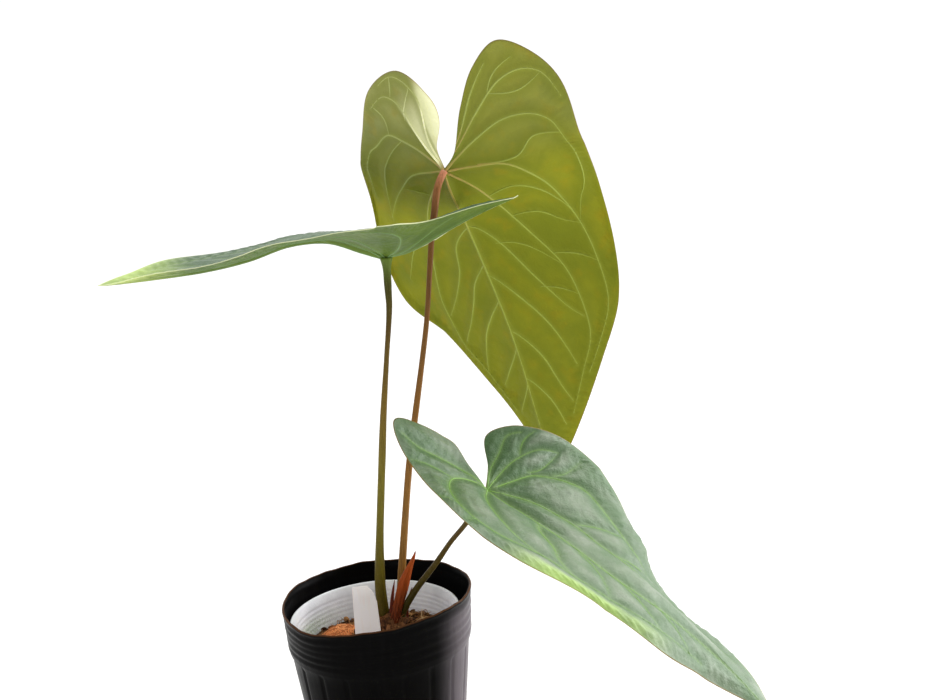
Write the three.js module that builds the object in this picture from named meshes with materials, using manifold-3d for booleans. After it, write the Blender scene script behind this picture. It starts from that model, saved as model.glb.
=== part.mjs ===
// Potted anthurium hybrid: three heart-shaped leaves on long stalks, grown from one short rough
// crown. It stands in coir in a clear liner pot, nested in a thin black nursery pot.
// Millimetres, +Z up. The origin is the middle of the outer pot's foot; -Y is the front.

import * as THREE from 'three';
import { mergeVertices } from 'three/addons/utils/BufferGeometryUtils.js';
import Module from 'manifold-3d';

const wasm = await Module();
wasm.setup();

// Driving dimensions

const CLEARANCE = 0.35;
const MERGE_STEP = 1e-4;

const POT = {
  footRadius: 47.5,
  shoulderRadius: 57.4,
  rimRadius: 59.2,
  lipRadius: 60,
  shoulder: 74,
  height: 103,
  foot: 1.5,
  wall: 1.1,
  floor: 1.3,
  segments: 60,
  grooves: 20,
  grooveDepth: 0.8,
  ribs: 5,
  ribDepth: 0.5,
  lipRoll: 2,
  // the soft lip's rise: height, degrees where it is highest, and how many times round
  lipWaves: [[2, -10, 1], [1.2, -43, 2], [0.4, 50, 3], [0.3, 0, 7]],
  holeRadius: 4,
  holeRing: 30,
  holes: 6,
};

const LINER = {
  centre: [-2, -2],
  footRadius: 40,
  rimRadius: 52.6,
  lipRadius: 53.6,
  base: POT.floor + CLEARANCE,
  height: 91,
  wall: 0.9,
  floor: 1.1,
  segments: 40,
  bands: [12, 30, 48, 66, 78],
  bandDepth: 0.6,
  holeRadius: 3.5,
  holeRing: 22,
  holes: 5,
};

const MEDIUM = {
  edgeHeight: 70,
  moundHeight: 80.5,
  rings: 6,
  segments: 36,
  bump: 1.1,
};

const CROWN = { centre: [8, 0, 82], size: [10, 9, 9] };

const LABEL = {
  thickness: 0.9,
  foot: [-6.6, -12, 64],
  lean: 0.7,
  outline: [[-4.5, 0], [4.5, 0], [8.3, 16], [7.8, 38.3], [5.9, 44.7], [2.8, 49], [-5.8, 49],
    [-6.6, 48.2], [-7.9, 16]],
};

const BLADE = {
  thickness: 0.8,
  ribDepth: 1.5,
  ribTaper: 0.7,
  quilt: 1.1,
  marginWave: 0.6,
  waves: 5,
  columns: 6,
  columnCrowding: 1.3,
};

// Small tools

const v3 = (p) => new THREE.Vector3(...p);

const smoothstep = (x, a, b) => {
  const u = Math.min(1, Math.max(0, (x - a) / (b - a)));
  return u * u * (3 - 2 * u);
};

function randomFrom(seed) {
  let state = seed;
  return () => {
    state = (state * 16807) % 2147483647;
    return state / 2147483647;
  };
}

// A smooth track through values at uneven knots; it runs straight on past its ends.
class Track {
  constructor(knots, values) {
    this.knots = knots;
    this.values = values.map((v) => (Array.isArray(v) ? v : [v]));
    const last = knots.length - 1;
    const step = (i) => knots[i + 1] - knots[i];
    const rise = (i, c) => (this.values[i + 1][c] - this.values[i][c]) / step(i);
    this.slopes = this.values.map((v, i) => v.map((_, c) => {
      if (i === 0 || i === last) return 0;
      return (rise(i - 1, c) * step(i) + rise(i, c) * step(i - 1)) / (step(i) + step(i - 1));
    }));
    this.slopes[0] = this.slopes[0].map((_, c) => 1.5 * rise(0, c) - 0.5 * this.slopes[1][c]);
    this.slopes[last] = this.slopes[last].map(
      (_, c) => 1.5 * rise(last - 1, c) - 0.5 * this.slopes[last - 1][c]);
  }

  span(x) {
    let i = this.knots.length - 2;
    while (i > 0 && x < this.knots[i]) i -= 1;
    return i;
  }

  at(x) {
    const last = this.knots.length - 1;
    if (x < this.knots[0]) {
      return this.values[0].map((v, c) => v + this.slopes[0][c] * (x - this.knots[0]));
    }
    if (x > this.knots[last]) {
      return this.values[last].map((v, c) => v + this.slopes[last][c] * (x - this.knots[last]));
    }
    const i = this.span(x);
    const h = this.knots[i + 1] - this.knots[i];
    const u = (x - this.knots[i]) / h;
    return this.values[i].map((v, c) => v * (1 + 2 * u) * (1 - u) ** 2
      + this.slopes[i][c] * h * u * (1 - u) ** 2
      + this.values[i + 1][c] * u * u * (3 - 2 * u)
      + this.slopes[i + 1][c] * h * u * u * (u - 1));
  }

  slope(x) {
    const e = 1e-3;
    const a = this.at(x - e);
    return this.at(x + e).map((v, c) => (v - a[c]) / (2 * e));
  }
}

const lengthsAlong = (points, power = 1) => {
  const out = [0];
  for (let i = 1; i < points.length; i += 1) {
    const d = Math.hypot(...points[i].map((v, c) => v - points[i - 1][c]));
    out.push(out[i - 1] + d ** power);
  }
  return out;
};

// A closed geometry from loose triangles: equal corners joined, flat triangles dropped, turned outward.
function closed(corners) {
  const loose = new THREE.BufferGeometry();
  loose.setAttribute('position', new THREE.Float32BufferAttribute(corners.flat(), 3));
  const merged = mergeVertices(loose, MERGE_STEP);
  const index = [...merged.getIndex().array];
  const kept = [];
  for (let i = 0; i < index.length; i += 3) {
    const [a, b, c] = index.slice(i, i + 3);
    if (a !== b && b !== c && c !== a) kept.push(a, b, c);
  }
  const p = merged.getAttribute('position');
  let volume = 0;
  for (let i = 0; i < kept.length; i += 3) {
    const [a, b, c] = [0, 1, 2].map((k) => new THREE.Vector3().fromBufferAttribute(p, kept[i + k]));
    volume += a.dot(b.cross(c));
  }
  if (volume < 0) {
    for (let i = 0; i < kept.length; i += 3) [kept[i], kept[i + 1]] = [kept[i + 1], kept[i]];
  }
  const out = new THREE.BufferGeometry();
  out.setAttribute('position', p);
  out.setIndex(kept);
  return out;
}

function solid(geometry) {
  const bare = geometry.clone();
  bare.deleteAttribute('normal');
  bare.deleteAttribute('uv');
  const g = mergeVertices(bare, MERGE_STEP);
  return new wasm.Manifold(new wasm.Mesh({
    numProp: 3,
    vertProperties: new Float32Array(g.getAttribute('position').array),
    triVerts: new Uint32Array(g.getIndex().array),
  }));
}

function geometryOf(body) {
  const mesh = body.getMesh();
  const g = new THREE.BufferGeometry();
  g.setAttribute('position', new THREE.Float32BufferAttribute(mesh.vertProperties, 3));
  g.setIndex([...mesh.triVerts]);
  return g;
}

// The biggest body of a cut, without the crumbs that a cut leaves beside it.
const biggest = (body) => body.decompose().reduce((a, b) => (a.volume() > b.volume() ? a : b));

// Rings of points joined into one closed skin, with a flat fan on each end.
function skin(rings) {
  const corners = [];
  const quad = (a, b, c, d) => corners.push(a, b, c, a, c, d);
  const centre = (ring) => [0, 1, 2].map((c) => ring.reduce((sum, p) => sum + p[c], 0) / ring.length);
  for (let i = 0; i + 1 < rings.length; i += 1) {
    const [lower, upper] = [rings[i], rings[i + 1]];
    lower.forEach((p, j) => {
      const k = (j + 1) % lower.length;
      quad(p, lower[k], upper[k], upper[j]);
    });
  }
  const [first, last] = [rings[0], rings[rings.length - 1]];
  const [low, high] = [centre(first), centre(last)];
  first.forEach((p, j) => corners.push(low, first[(j + 1) % first.length], p));
  last.forEach((p, j) => corners.push(high, p, last[(j + 1) % last.length]));
  return closed(corners);
}

// A round or oval bar along a curve; its radius follows a track from foot (0) to end (1).
function bar(points, radii, { sides = 8, steps = 20, extra = 0, flatten = 1 } = {}) {
  const curve = new THREE.CatmullRomCurve3(points.map(v3), false, 'centripetal');
  const frames = curve.computeFrenetFrames(steps, false);
  const radius = new Track(radii.map((r) => r[0]), radii.map((r) => r[1]));
  const rings = [];
  for (let i = 0; i <= steps; i += 1) {
    const u = i / steps;
    const at = curve.getPointAt(u);
    const r = radius.at(u)[0] + extra;
    const ring = [];
    for (let j = 0; j < sides; j += 1) {
      const angle = (2 * Math.PI * j) / sides;
      const p = at.clone()
        .addScaledVector(frames.normals[i], r * Math.cos(angle))
        .addScaledVector(frames.binormals[i], r * flatten * Math.sin(angle));
      ring.push(p.toArray());
    }
    rings.push(ring);
  }
  return skin(rings);
}

// A turned shell; shape(r, z, angle) may move each point of the profile off the plain round.
function turned(profile, segments, shape = (r, z) => [r, z]) {
  const outline = profile.map(([r, z]) => new THREE.Vector2(r, z));
  const lathe = new THREE.LatheGeometry(outline, segments);
  lathe.rotateX(Math.PI / 2);
  const p = lathe.getAttribute('position');
  const corners = [];
  const index = lathe.getIndex().array;
  for (const i of index) {
    const [x, y, z] = [p.getX(i), p.getY(i), p.getZ(i)];
    const angle = Math.round((Math.atan2(y, x) * segments) / (2 * Math.PI)) * ((2 * Math.PI) / segments);
    const [r, h] = shape(Math.hypot(x, y), z, angle);
    corners.push([r * Math.cos(angle), r * Math.sin(angle), h]);
  }
  return closed(corners);
}

function drilled(geometry, { holes, holeRing, holeRadius }, floor) {
  let body = solid(geometry);
  for (let i = 0; i < holes; i += 1) {
    const angle = (2 * Math.PI * (i + 0.5)) / holes;
    const drill = new THREE.CylinderGeometry(holeRadius, holeRadius, 6 * floor, 12);
    drill.rotateX(Math.PI / 2);
    drill.translate(holeRing * Math.cos(angle), holeRing * Math.sin(angle), 0);
    body = body.subtract(solid(drill));
  }
  return geometryOf(body);
}

// Outer pot: flat foot, fluted wall, a ribbed band and a thin uneven lip

const lipRise = (angle) => POT.lipWaves.reduce(
  (sum, [rise, top, times]) => sum + rise * Math.cos(times * (angle - THREE.MathUtils.degToRad(top))), 0);

function outerPot() {
  const bandStep = (POT.height - POT.shoulder - 2 * POT.lipRoll) / POT.ribs;
  const bandRadius = (z) => THREE.MathUtils.mapLinear(
    z, POT.shoulder, POT.height, POT.shoulderRadius, POT.rimRadius);
  const wallRadius = (z) => THREE.MathUtils.mapLinear(
    z, 0, POT.shoulder, POT.footRadius, POT.shoulderRadius - 1);
  const [low, high] = [8, POT.shoulder - 4];
  const profile = [[0, 0], [POT.footRadius - POT.foot, 0], [POT.footRadius, POT.foot]];
  profile.push([wallRadius(low), low], [wallRadius(high), high]);
  profile.push([POT.shoulderRadius, POT.shoulder]);
  for (let i = 0; i < POT.ribs; i += 1) {
    const z = POT.shoulder + 1.5 + i * bandStep;
    profile.push([bandRadius(z) + POT.ribDepth, z], [bandRadius(z + bandStep / 2), z + bandStep / 2]);
  }
  profile.push([POT.rimRadius, POT.height - POT.lipRoll], [POT.lipRadius, POT.height - POT.lipRoll / 2]);
  profile.push([POT.lipRadius - 0.3, POT.height], [POT.rimRadius - POT.wall, POT.height - 0.4]);
  profile.push([POT.shoulderRadius - POT.wall, POT.shoulder], [wallRadius(high) - POT.wall, high]);
  profile.push([wallRadius(low) - POT.wall, low], [POT.footRadius - 2.5, POT.floor], [0, POT.floor]);

  const groove = (2 * Math.PI) / POT.grooves;
  const shell = turned(profile, POT.segments, (r, z, angle) => {
    const lift = smoothstep(z, POT.shoulder, POT.height) * lipRise(angle);
    const inGroove = Math.abs(angle / groove - Math.round(angle / groove)) < 1e-3;
    const fluted = inGroove && z > 2 && z < POT.shoulder - 1 && r > POT.footRadius - 3;
    return [fluted ? r - POT.grooveDepth : r, z + lift];
  });
  return drilled(shell, POT, POT.floor);
}

// Liner pot: a clear thin pot with shallow bands, inside the outer one

const linerRadius = (z) => THREE.MathUtils.mapLinear(
  z, LINER.base, LINER.height, LINER.footRadius, LINER.rimRadius);

function innerPot() {
  const inner = (z) => linerRadius(z) - LINER.wall;
  const profile = [[0, LINER.base], [LINER.footRadius - 1.5, LINER.base]];
  profile.push([LINER.footRadius, LINER.base + 1.5]);
  for (const z of LINER.bands) {
    profile.push([linerRadius(z) - LINER.bandDepth, z], [linerRadius(z + 2), z + 2]);
  }
  profile.push([LINER.rimRadius, LINER.height - 2], [LINER.lipRadius, LINER.height - 1.6]);
  profile.push([LINER.lipRadius, LINER.height], [inner(LINER.height), LINER.height]);
  profile.push([inner(LINER.bands[4]) - LINER.bandDepth, LINER.bands[4]]);
  profile.push([inner(LINER.bands[2]) - LINER.bandDepth, LINER.bands[2]]);
  profile.push([inner(8) - LINER.bandDepth, 8]);
  profile.push([LINER.footRadius - 2, LINER.base + LINER.floor], [0, LINER.base + LINER.floor]);
  const pot = drilled(turned(profile, LINER.segments), LINER, LINER.base + LINER.floor);
  pot.translate(...LINER.centre, 0);
  return pot;
}

// Growing medium: a coarse mound that fills the liner, highest at the crown

function mediumHeight(x, y) {
  const reach = Math.hypot(x - CROWN.centre[0], y - CROWN.centre[1]);
  const mound = MEDIUM.moundHeight - (MEDIUM.moundHeight - MEDIUM.edgeHeight) * smoothstep(reach, 4, 50);
  const chips = Math.sin(0.33 * x + 1.3) * Math.cos(0.29 * y) + 0.6 * Math.sin(0.61 * y - 0.47 * x);
  return mound + MEDIUM.bump * chips;
}

function mediumBody(raise = 0) {
  const clear = LINER.wall + LINER.bandDepth + CLEARANCE;
  const low = LINER.base + LINER.floor + CLEARANCE;
  const [cx, cy] = LINER.centre;
  const ring = (r, height) => Array.from({ length: MEDIUM.segments }, (_, j) => {
    const angle = (2 * Math.PI * j) / MEDIUM.segments;
    const [x, y] = [cx + r * Math.cos(angle), cy + r * Math.sin(angle)];
    return [x, y, height ?? mediumHeight(x, y) + raise];
  });
  const top = linerRadius(MEDIUM.edgeHeight - 4) - clear;
  const rings = [ring(linerRadius(low) - clear - 1.5, low), ring(top, MEDIUM.edgeHeight - 4)];
  for (let i = 0; i < MEDIUM.rings; i += 1) rings.push(ring(top * (1 - i / MEDIUM.rings)));
  return solid(skin(rings));
}

// Crown: the short rough stem and its upper roots

const ROOTS = [
  { turn: 205, reach: 13, drop: 9, thick: 1.5 },
  { turn: 258, reach: 11, drop: 9, thick: 1.7 },
  { turn: 318, reach: 13, drop: 10, thick: 1.5 },
  { turn: 20, reach: 14, drop: 9, thick: 1.3 },
  { turn: 85, reach: 12, drop: 9, thick: 1.6 },
  { turn: 150, reach: 13, drop: 10, thick: 1.4 },
];

function crownBody(extra = 0) {
  const lump = new THREE.SphereGeometry(1, 16, 10);
  lump.rotateX(Math.PI / 2);
  const p = lump.getAttribute('position');
  for (let i = 0; i < p.count; i += 1) {
    const [x, y, z] = [p.getX(i), p.getY(i), p.getZ(i)];
    const scars = 1 + 0.05 * Math.sin(14 * z) + 0.05 * Math.sin(3 * Math.atan2(y, x) + 4 * z) * (1 - z * z);
    const size = CROWN.size.map((s) => s * scars + extra);
    p.setXYZ(i, x * size[0], y * size[1], z * size[2]);
  }
  lump.translate(...CROWN.centre);
  let body = solid(lump);
  for (const { turn, reach, drop, thick } of ROOTS) {
    const angle = THREE.MathUtils.degToRad(turn);
    const out = (r, dz) => [
      CROWN.centre[0] + r * Math.cos(angle),
      CROWN.centre[1] + r * Math.sin(angle),
      CROWN.centre[2] + dz,
    ];
    const path = [out(4, 2), out(9, 1), out(reach - 1, -2), out(reach + extra * 0.3, -drop - extra)];
    body = body.add(solid(bar(path, [[0, thick], [1, 0.7 * thick]], { sides: 6, steps: 6, extra })));
  }
  return body;
}

// Stalks: a wide foot that clasps the crown, a long slender stem and a swollen knee under the blade

const STALKS = {
  petiole_upright: {
    points: [[12.6, 4.5, 84], [14, 4.2, 94], [16.4, 3.6, 112.4], [18.9, 3.2, 129.6], [27.3, 2.4, 183.4],
      [33, 2, 211.1], [41.2, 1, 249.8], [46, 0.2, 274.5], [50.4, 1.6, 305.5], [53.2, 5.4, 324.7],
      [55.8, 9.6, 338.1], [57.8, 12.8, 348.6], [60, 15, 355], [62.9, 17.2, 359.9]],
    radii: [[0, 3], [0.08, 2.7], [0.16, 2.4], [0.4, 2.1], [0.85, 1.8], [0.93, 2.2], [1, 2.1]],
    sides: 8,
    steps: 26,
  },
  petiole_level: {
    points: [[3, 0, 80], [3, 0, 88], [2.6, 0, 105.5], [3.4, 0, 119.4], [5, 0, 137.7], [11.9, 0, 195.5],
      [14.6, 0, 217.4], [19.5, 0, 251.4], [24, 0, 283], [24.4, 0, 295], [24.8, 0, 311.2]],
    radii: [[0, 3.7], [0.1, 3.6], [0.24, 2.6], [0.5, 2.3], [0.86, 1.8], [0.93, 2.4], [1, 2.7]],
    sides: 8,
    steps: 24,
  },
  petiole_low: {
    points: [[13.4, -2.2, 80], [14.6, -2.4, 88], [19, -4.4, 96.5], [26, -8, 107.4], [39.5, -16, 125.8],
      [50.1, -25, 142.2], [59.5, -34, 155.3], [67, -42, 168], [73.5, -48.8, 178.1]],
    radii: [[0, 2.5], [0.14, 2.25], [0.3, 2], [0.85, 1.8], [0.93, 2.1], [1, 2]],
    sides: 8,
    steps: 18,
  },
};

const stalk = ({ points, radii, sides, steps }, extra = 0) => bar(points, radii, { sides, steps, extra });

// Sheaths: dry pointed bracts that once wrapped the young leaves

const TALL_SHEATH = {
  // height, middle x, half width
  stations: [[84, 9.5, 3], [91, 11.5, 3.3], [98, 13.8, 3.4], [106, 16.6, 3.7], [112, 18.6, 3.5],
    [120, 22, 2.3], [127, 25.4, 1.1], [131, 27, 0.35]],
  front: -7.4,
  curl: 1.9,
  thickness: 0.8,
  columns: 6,
};

function tallSheath(extra = 0) {
  const { stations, front, curl, thickness, columns } = TALL_SHEATH;
  const middle = new Track(stations.map((s) => s[0]), stations.map((s) => [s[1], s[2]]));
  const [low, high] = [stations[0][0], stations[stations.length - 1][0]];
  const steps = 11;
  const rings = [];
  for (let i = 0; i <= steps; i += 1) {
    const z = low + ((high - low) * i) / steps;
    const [x, half] = middle.at(z);
    const ring = [];
    for (let j = 0; j <= columns; j += 1) {
      const a = (2 * j) / columns - 1;
      ring.push([x + a * (half + extra), front + curl * a * a * (half / 3.7) - thickness / 2 - extra, z]);
    }
    for (let j = columns; j >= 0; j -= 1) {
      const a = (2 * j) / columns - 1;
      ring.push([x + a * (half + extra), front + curl * a * a * (half / 3.7) + thickness / 2 + extra, z]);
    }
    rings.push(ring);
  }
  return skin(rings);
}

const SPIKES = {
  cataphyll_left: [[7.9, -3, 84], [8.6, -3, 93], [10.2, -2.8, 103], [12.1, -2.6, 111.6]],
  cataphyll_right: [[16.6, 2.6, 82], [17.6, 1.6, 90], [19.6, 1.2, 97], [22.4, 0.8, 104.6]],
};

const spike = (points, extra = 0) => bar(
  points, [[0, 1.5], [0.35, 1.35], [0.8, 0.7], [1, 0.25]], { sides: 6, steps: 7, extra, flatten: 0.7 });

function crown() {
  let body = crownBody();
  for (const spec of Object.values(STALKS)) body = body.subtract(solid(stalk(spec, CLEARANCE)));
  for (const points of Object.values(SPIKES)) body = body.subtract(solid(spike(points, CLEARANCE)));
  return geometryOf(body.subtract(solid(tallSheath(CLEARANCE))));
}

// Label: a plain plastic tag with cut corners, leaning in the medium

function label(extra = 0) {
  const outline = new THREE.Shape();
  LABEL.outline.forEach(([x, y], i) => {
    const [px, py] = [x + Math.sign(x) * extra, y === 0 ? -extra : y];
    if (i === 0) outline.moveTo(px, py);
    else outline.lineTo(px, py);
  });
  const depth = LABEL.thickness + 2 * extra;
  const tag = new THREE.ExtrudeGeometry(outline, { depth, bevelEnabled: false });
  tag.translate(0, 0, -depth / 2);
  tag.rotateX(Math.PI / 2);
  tag.rotateY(THREE.MathUtils.degToRad(-LABEL.lean));
  tag.translate(...LABEL.foot);
  return tag;
}

// Tufts: loose coir lying on the medium, each a clump of bent fibres round a core

const TUFTS = {
  coir_tuft_left: { centre: [-24, 3], size: [13, 9, 6.5], fibres: 9, reach: 1.35, thick: 1, seed: 11 },
  coir_tuft_right: { centre: [31, 4], size: [10, 7, 3.8], fibres: 11, reach: 1.3, thick: 0.8, seed: 29 },
};

function tuft({ centre, size, fibres, reach, thick, seed }) {
  const random = randomFrom(seed);
  const ground = mediumHeight(...centre);
  const core = new THREE.SphereGeometry(1, 10, 7);
  core.rotateX(Math.PI / 2);
  const p = core.getAttribute('position');
  for (let i = 0; i < p.count; i += 1) {
    const rough = 1 + 0.12 * Math.sin(7 * p.getX(i) + 5 * p.getY(i)) * (1 - p.getZ(i) ** 2);
    p.setXYZ(i, p.getX(i) * size[0] * rough, p.getY(i) * size[1] * rough, p.getZ(i) * size[2]);
  }
  core.translate(...centre, ground);
  let body = solid(core);
  for (let i = 0; i < fibres; i += 1) {
    const turn = (2 * Math.PI * (i + 0.6 * random())) / fibres;
    const rise = size[2] * (0.5 + 0.6 * random());
    const at = (k, dz) => [
      centre[0] + k * size[0] * Math.cos(turn + 0.25 * k),
      centre[1] + k * size[1] * Math.sin(turn + 0.25 * k),
      ground + dz,
    ];
    const tip = at(reach * (0.8 + 0.3 * random()), 1.5);
    const path = [at(0.2, 0.4 * rise), at(0.7, rise), at(1, 0.8 * rise), tip];
    body = body.add(solid(bar(path, [[0, thick], [1, 0.5 * thick]], { sides: 5, steps: 6 })));
  }
  return geometryOf(biggest(body.subtract(mediumBody(CLEARANCE))));
}

function growingMedium() {
  return geometryOf(mediumBody().subtract(crownBody(CLEARANCE)).subtract(solid(label(CLEARANCE))));
}

// Blades: flat heart outlines laid over a bent rib and folded along it.
// axis runs from between the lobes through the stalk's joint (its second point) to the tip.
// An outline gives the margin from the notch to the tip as along, across; fold is in degrees.

const BLADES = {
  blade_upright: {
    axis: [[62.5, 8, 420], [64, 20, 361], [76.4, 52.5, 323.5], [100.6, 76, 247.4], [117, 98, 175],
      [126.3, 115.5, 135.4]],
    normal: [0.4, 0.88, 0.26],
    foldAt: [-82, 0, 62, 124, 185, 242],
    left: {
      fold: [15, 14, 15, 16, 16, 16],
      outline: [[-14, 4], [-33, 0], [-48, 8], [-61, 30], [-50, 53], [-21, 62], [39, 76], [71, 87],
        [103, 85], [131, 65], [170, 38], [197, 23]],
    },
    right: {
      fold: [22, 24, 23, 22, 21, 19],
      outline: [[-10, 7], [-39, 14], [-61, 22], [-75, 36], [-69, 56], [-52, 74], [-11, 84], [63, 87],
        [103, 83], [131, 75], [164, 56], [209, 30]],
    },
  },
  blade_level: {
    axis: [[87, 4, 334], [25, 0, 314], [12, -1, 318.6], [-8, -4, 326.3], [-30, -7, 326.2],
      [-55, -10, 319.4], [-80, -14, 315.4], [-108, -20, 313.6], [-140, -25, 312.5]],
    normal: [0, 0.026, 1],
    foldAt: [-80, -36, 0, 45, 90, 135, 170],
    left: {
      fold: [1, 20, 17, 4, 6, 7, 3],
      outline: [[-13, 7], [-38, 16], [-63, 24], [-82, 32], [-75, 47], [-36, 53], [6, 73], [41, 71],
        [76, 57], [112, 45], [140, 31], [159, 15]],
    },
    right: {
      fold: [14, 16, 12.5, 1, 7, 13, 17],
      outline: [[-13, 7], [-38, 14], [-57, 20], [-64, 27], [-57, 34], [-45, 40], [-25, 54], [6, 70],
        [41, 70], [76, 59], [111, 43], [140, 32], [157, 15]],
    },
  },
  blade_low: {
    axis: [[54, -21, 215], [74, -50, 180], [99, -69, 166], [146, -95, 140], [191, -109, 95],
      [214, -124, 68]],
    normal: [0, 0.03, 1],
    foldAt: [-45, 10, 60, 110, 160, 200],
    left: {
      fold: [16, 15, 5, -10, -13, -13],
      outline: [[-14, 10], [-34, 18], [-35, 35], [-25, 51], [-6, 64], [18, 73], [51, 69], [86, 53],
        [122, 44], [154, 28], [182, 17]],
    },
    right: {
      fold: [23, 17, 7, -3, -12, -19],
      outline: [[-18, 2], [-36, 5], [-48, 27], [-49, 45], [-13, 51], [25, 66], [51, 61], [88, 49],
        [122, 47], [154, 24], [181, 8]],
    },
  },
};

// The side veins: where each ends as a share of the margin, where it leaves the rib as a share of
// the rib, and the angle at which it leaves. The first row is the notch and the last is the tip.
const VEINS = [
  [0, 0, 135], [0.16, 0, 120], [0.33, 0, 108], [0.43, 0, 95], [0.54, 0, 78], [0.63, 0, 58],
  [0.68, 0.15, 48], [0.73, 0.29, 43], [0.775, 0.43, 40], [0.82, 0.56, 37], [0.87, 0.69, 34],
  [0.92, 0.81, 31], [0.965, 0.915, 28], [1, 1, 25],
];
const ROWS_BETWEEN_VEINS = [6, 6, 3, 4, 3, 2, 2, 2, 2, 2, 2, 2, 2];
const NOTCH = [-2, 0];
const VEIN_BOW = 0.6;
const FOLD_SOFTENING = 6;

function bladeSheet({ axis, normal, foldAt, left, right }) {
  const along = lengthsAlong(axis);
  const joint = along[1];
  const rib = new Track(along.map((d) => d - joint), axis);
  const length = along[along.length - 1] - joint;
  const folds = { 1: new Track(foldAt, right.fold), '-1': new Track(foldAt, left.fold) };
  const place = (s, t, side, lift) => {
    const tangent = v3(rib.slope(s)).normalize();
    const up = v3(normal);
    up.addScaledVector(tangent, -up.dot(tangent)).normalize();
    const out = tangent.clone().cross(up).multiplyScalar(side);
    const foldAngle = folds[side].at(Math.min(Math.max(s, foldAt[0]), foldAt[foldAt.length - 1]))[0];
    const fold = THREE.MathUtils.degToRad(foldAngle);
    const soft = fold * Math.min(1, t / FOLD_SOFTENING);
    return v3(rib.at(s))
      .addScaledVector(out, t * Math.cos(fold) - lift * Math.sin(soft))
      .addScaledVector(up, t * Math.sin(fold) + lift * Math.cos(soft))
      .toArray();
  };
  return { place, length };
}

function margin(outline, length) {
  const points = [NOTCH, ...outline, [length, 0]];
  const track = new Track(lengthsAlong(points, 0.5), points);
  const end = track.knots[track.knots.length - 1];
  const fine = Array.from({ length: 1201 }, (_, i) => track.at((end * i) / 1200));
  const run = lengthsAlong(fine);
  return (share) => {
    const goal = share * run[run.length - 1];
    let i = run.findIndex((d) => d >= goal);
    if (i < 1) i = 1;
    const k = (goal - run[i - 1]) / (run[i] - run[i - 1]);
    return fine[i].map((v, c) => fine[i - 1][c] + (v - fine[i - 1][c]) * k);
  };
}

function bladeGeometry(spec) {
  const { place, length } = bladeSheet(spec);
  const veins = new Track(VEINS.map((_, i) => i), VEINS);
  const stops = ROWS_BETWEEN_VEINS.flatMap((n, k) => Array.from({ length: n }, (_, j) => k + j / n));
  stops.push(ROWS_BETWEEN_VEINS.length);
  const corners = [];
  const faces = { upper: [], lower: [] };

  for (const side of [-1, 1]) {
    const edge = margin((side > 0 ? spec.right : spec.left).outline, length);
    const grid = stops.map((w) => {
      const [share, start, leave] = veins.at(w);
      const end = edge(Math.min(1, Math.max(0, share)));
      const from = [length * Math.min(1, Math.max(0, start)), 0];
      const reach = VEIN_BOW * Math.hypot(end[0] - from[0], end[1]);
      const turn = THREE.MathUtils.degToRad(leave);
      const bow = [from[0] + reach * Math.cos(turn), reach * Math.sin(turn)];
      return Array.from({ length: BLADE.columns + 1 }, (_, j) => {
        const v = (j / BLADE.columns) ** BLADE.columnCrowding;
        const flat = [0, 1].map((c) => (1 - v) ** 2 * from[c] + 2 * v * (1 - v) * bow[c] + v * v * end[c]);
        const t = w === 0 ? 0 : Math.max(0, flat[1]);
        const quilt = BLADE.quilt * Math.sin(Math.PI * w) ** 2 * (4 * v * (1 - v)) ** 0.7;
        const wave = BLADE.marginWave * smoothstep(w, 0, 1.5) * (1 - smoothstep(w, 11, 13)) * v ** 3
          * Math.sin(2 * Math.PI * BLADE.waves * share + side);
        const ribDepth = j === 0 ? BLADE.ribDepth * (1 - flat[0] / length) ** BLADE.ribTaper : 0;
        return {
          upper: place(flat[0], t, side, quilt + wave + BLADE.thickness / 2),
          lower: place(flat[0], t, side, quilt + wave - BLADE.thickness / 2 - ribDepth),
        };
      });
    });
    for (const face of ['upper', 'lower']) {
      const flip = (face === 'upper') === (side > 0);
      for (let i = 0; i + 1 < grid.length; i += 1) {
        for (let j = 0; j < BLADE.columns; j += 1) {
          const [a, b, c, d] = [grid[i][j], grid[i + 1][j], grid[i + 1][j + 1], grid[i][j + 1]]
            .map((p) => p[face]);
          const pair = [[a, b, c], [a, c, d]];
          for (const [p, q, r] of pair) faces[face].push(...(flip ? [p, r, q] : [p, q, r]));
        }
      }
    }
    for (let i = 0; i + 1 < grid.length; i += 1) {
      const [p, q] = [grid[i][BLADE.columns], grid[i + 1][BLADE.columns]];
      const strip = side > 0
        ? [p.upper, q.lower, q.upper, p.upper, p.lower, q.lower]
        : [p.upper, q.upper, q.lower, p.upper, q.lower, p.lower];
      corners.push(...strip);
    }
  }
  corners.push(...faces.upper, ...faces.lower);
  return closed(corners);
}

// Finishes and assembly

const FINISHES = {
  black_film: { color: 0x141316, roughness: 0.34, metalness: 0 },
  clear_film: { color: 0xb9c4c8, roughness: 0.3, metalness: 0 },
  coir_mix: { color: 0x7a4a26, roughness: 0.95, metalness: 0 },
  coir_fibre: { color: 0xb8773c, roughness: 0.9, metalness: 0 },
  tag_plastic: { color: 0xe8e6e2, roughness: 0.5, metalness: 0 },
  crown_bark: { color: 0x5f3320, roughness: 0.85, metalness: 0 },
  dry_sheath: { color: 0xa8552a, roughness: 0.7, metalness: 0 },
  red_sheath: { color: 0x5c1f14, roughness: 0.6, metalness: 0 },
  stalk_brown: { color: 0x7c5226, roughness: 0.5, metalness: 0 },
  stalk_olive: { color: 0x5d5a24, roughness: 0.5, metalness: 0 },
  stalk_dark: { color: 0x46391a, roughness: 0.5, metalness: 0 },
  leaf_olive: { color: 0x7f8630, roughness: 0.55, metalness: 0 },
  leaf_green: { color: 0x4b7a45, roughness: 0.45, metalness: 0 },
};

const plant = new THREE.Group();

function piece(name, geometry, finish) {
  const mesh = new THREE.Mesh(geometry, new THREE.MeshStandardMaterial(FINISHES[finish]));
  mesh.name = name;
  plant.add(mesh);
}

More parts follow.
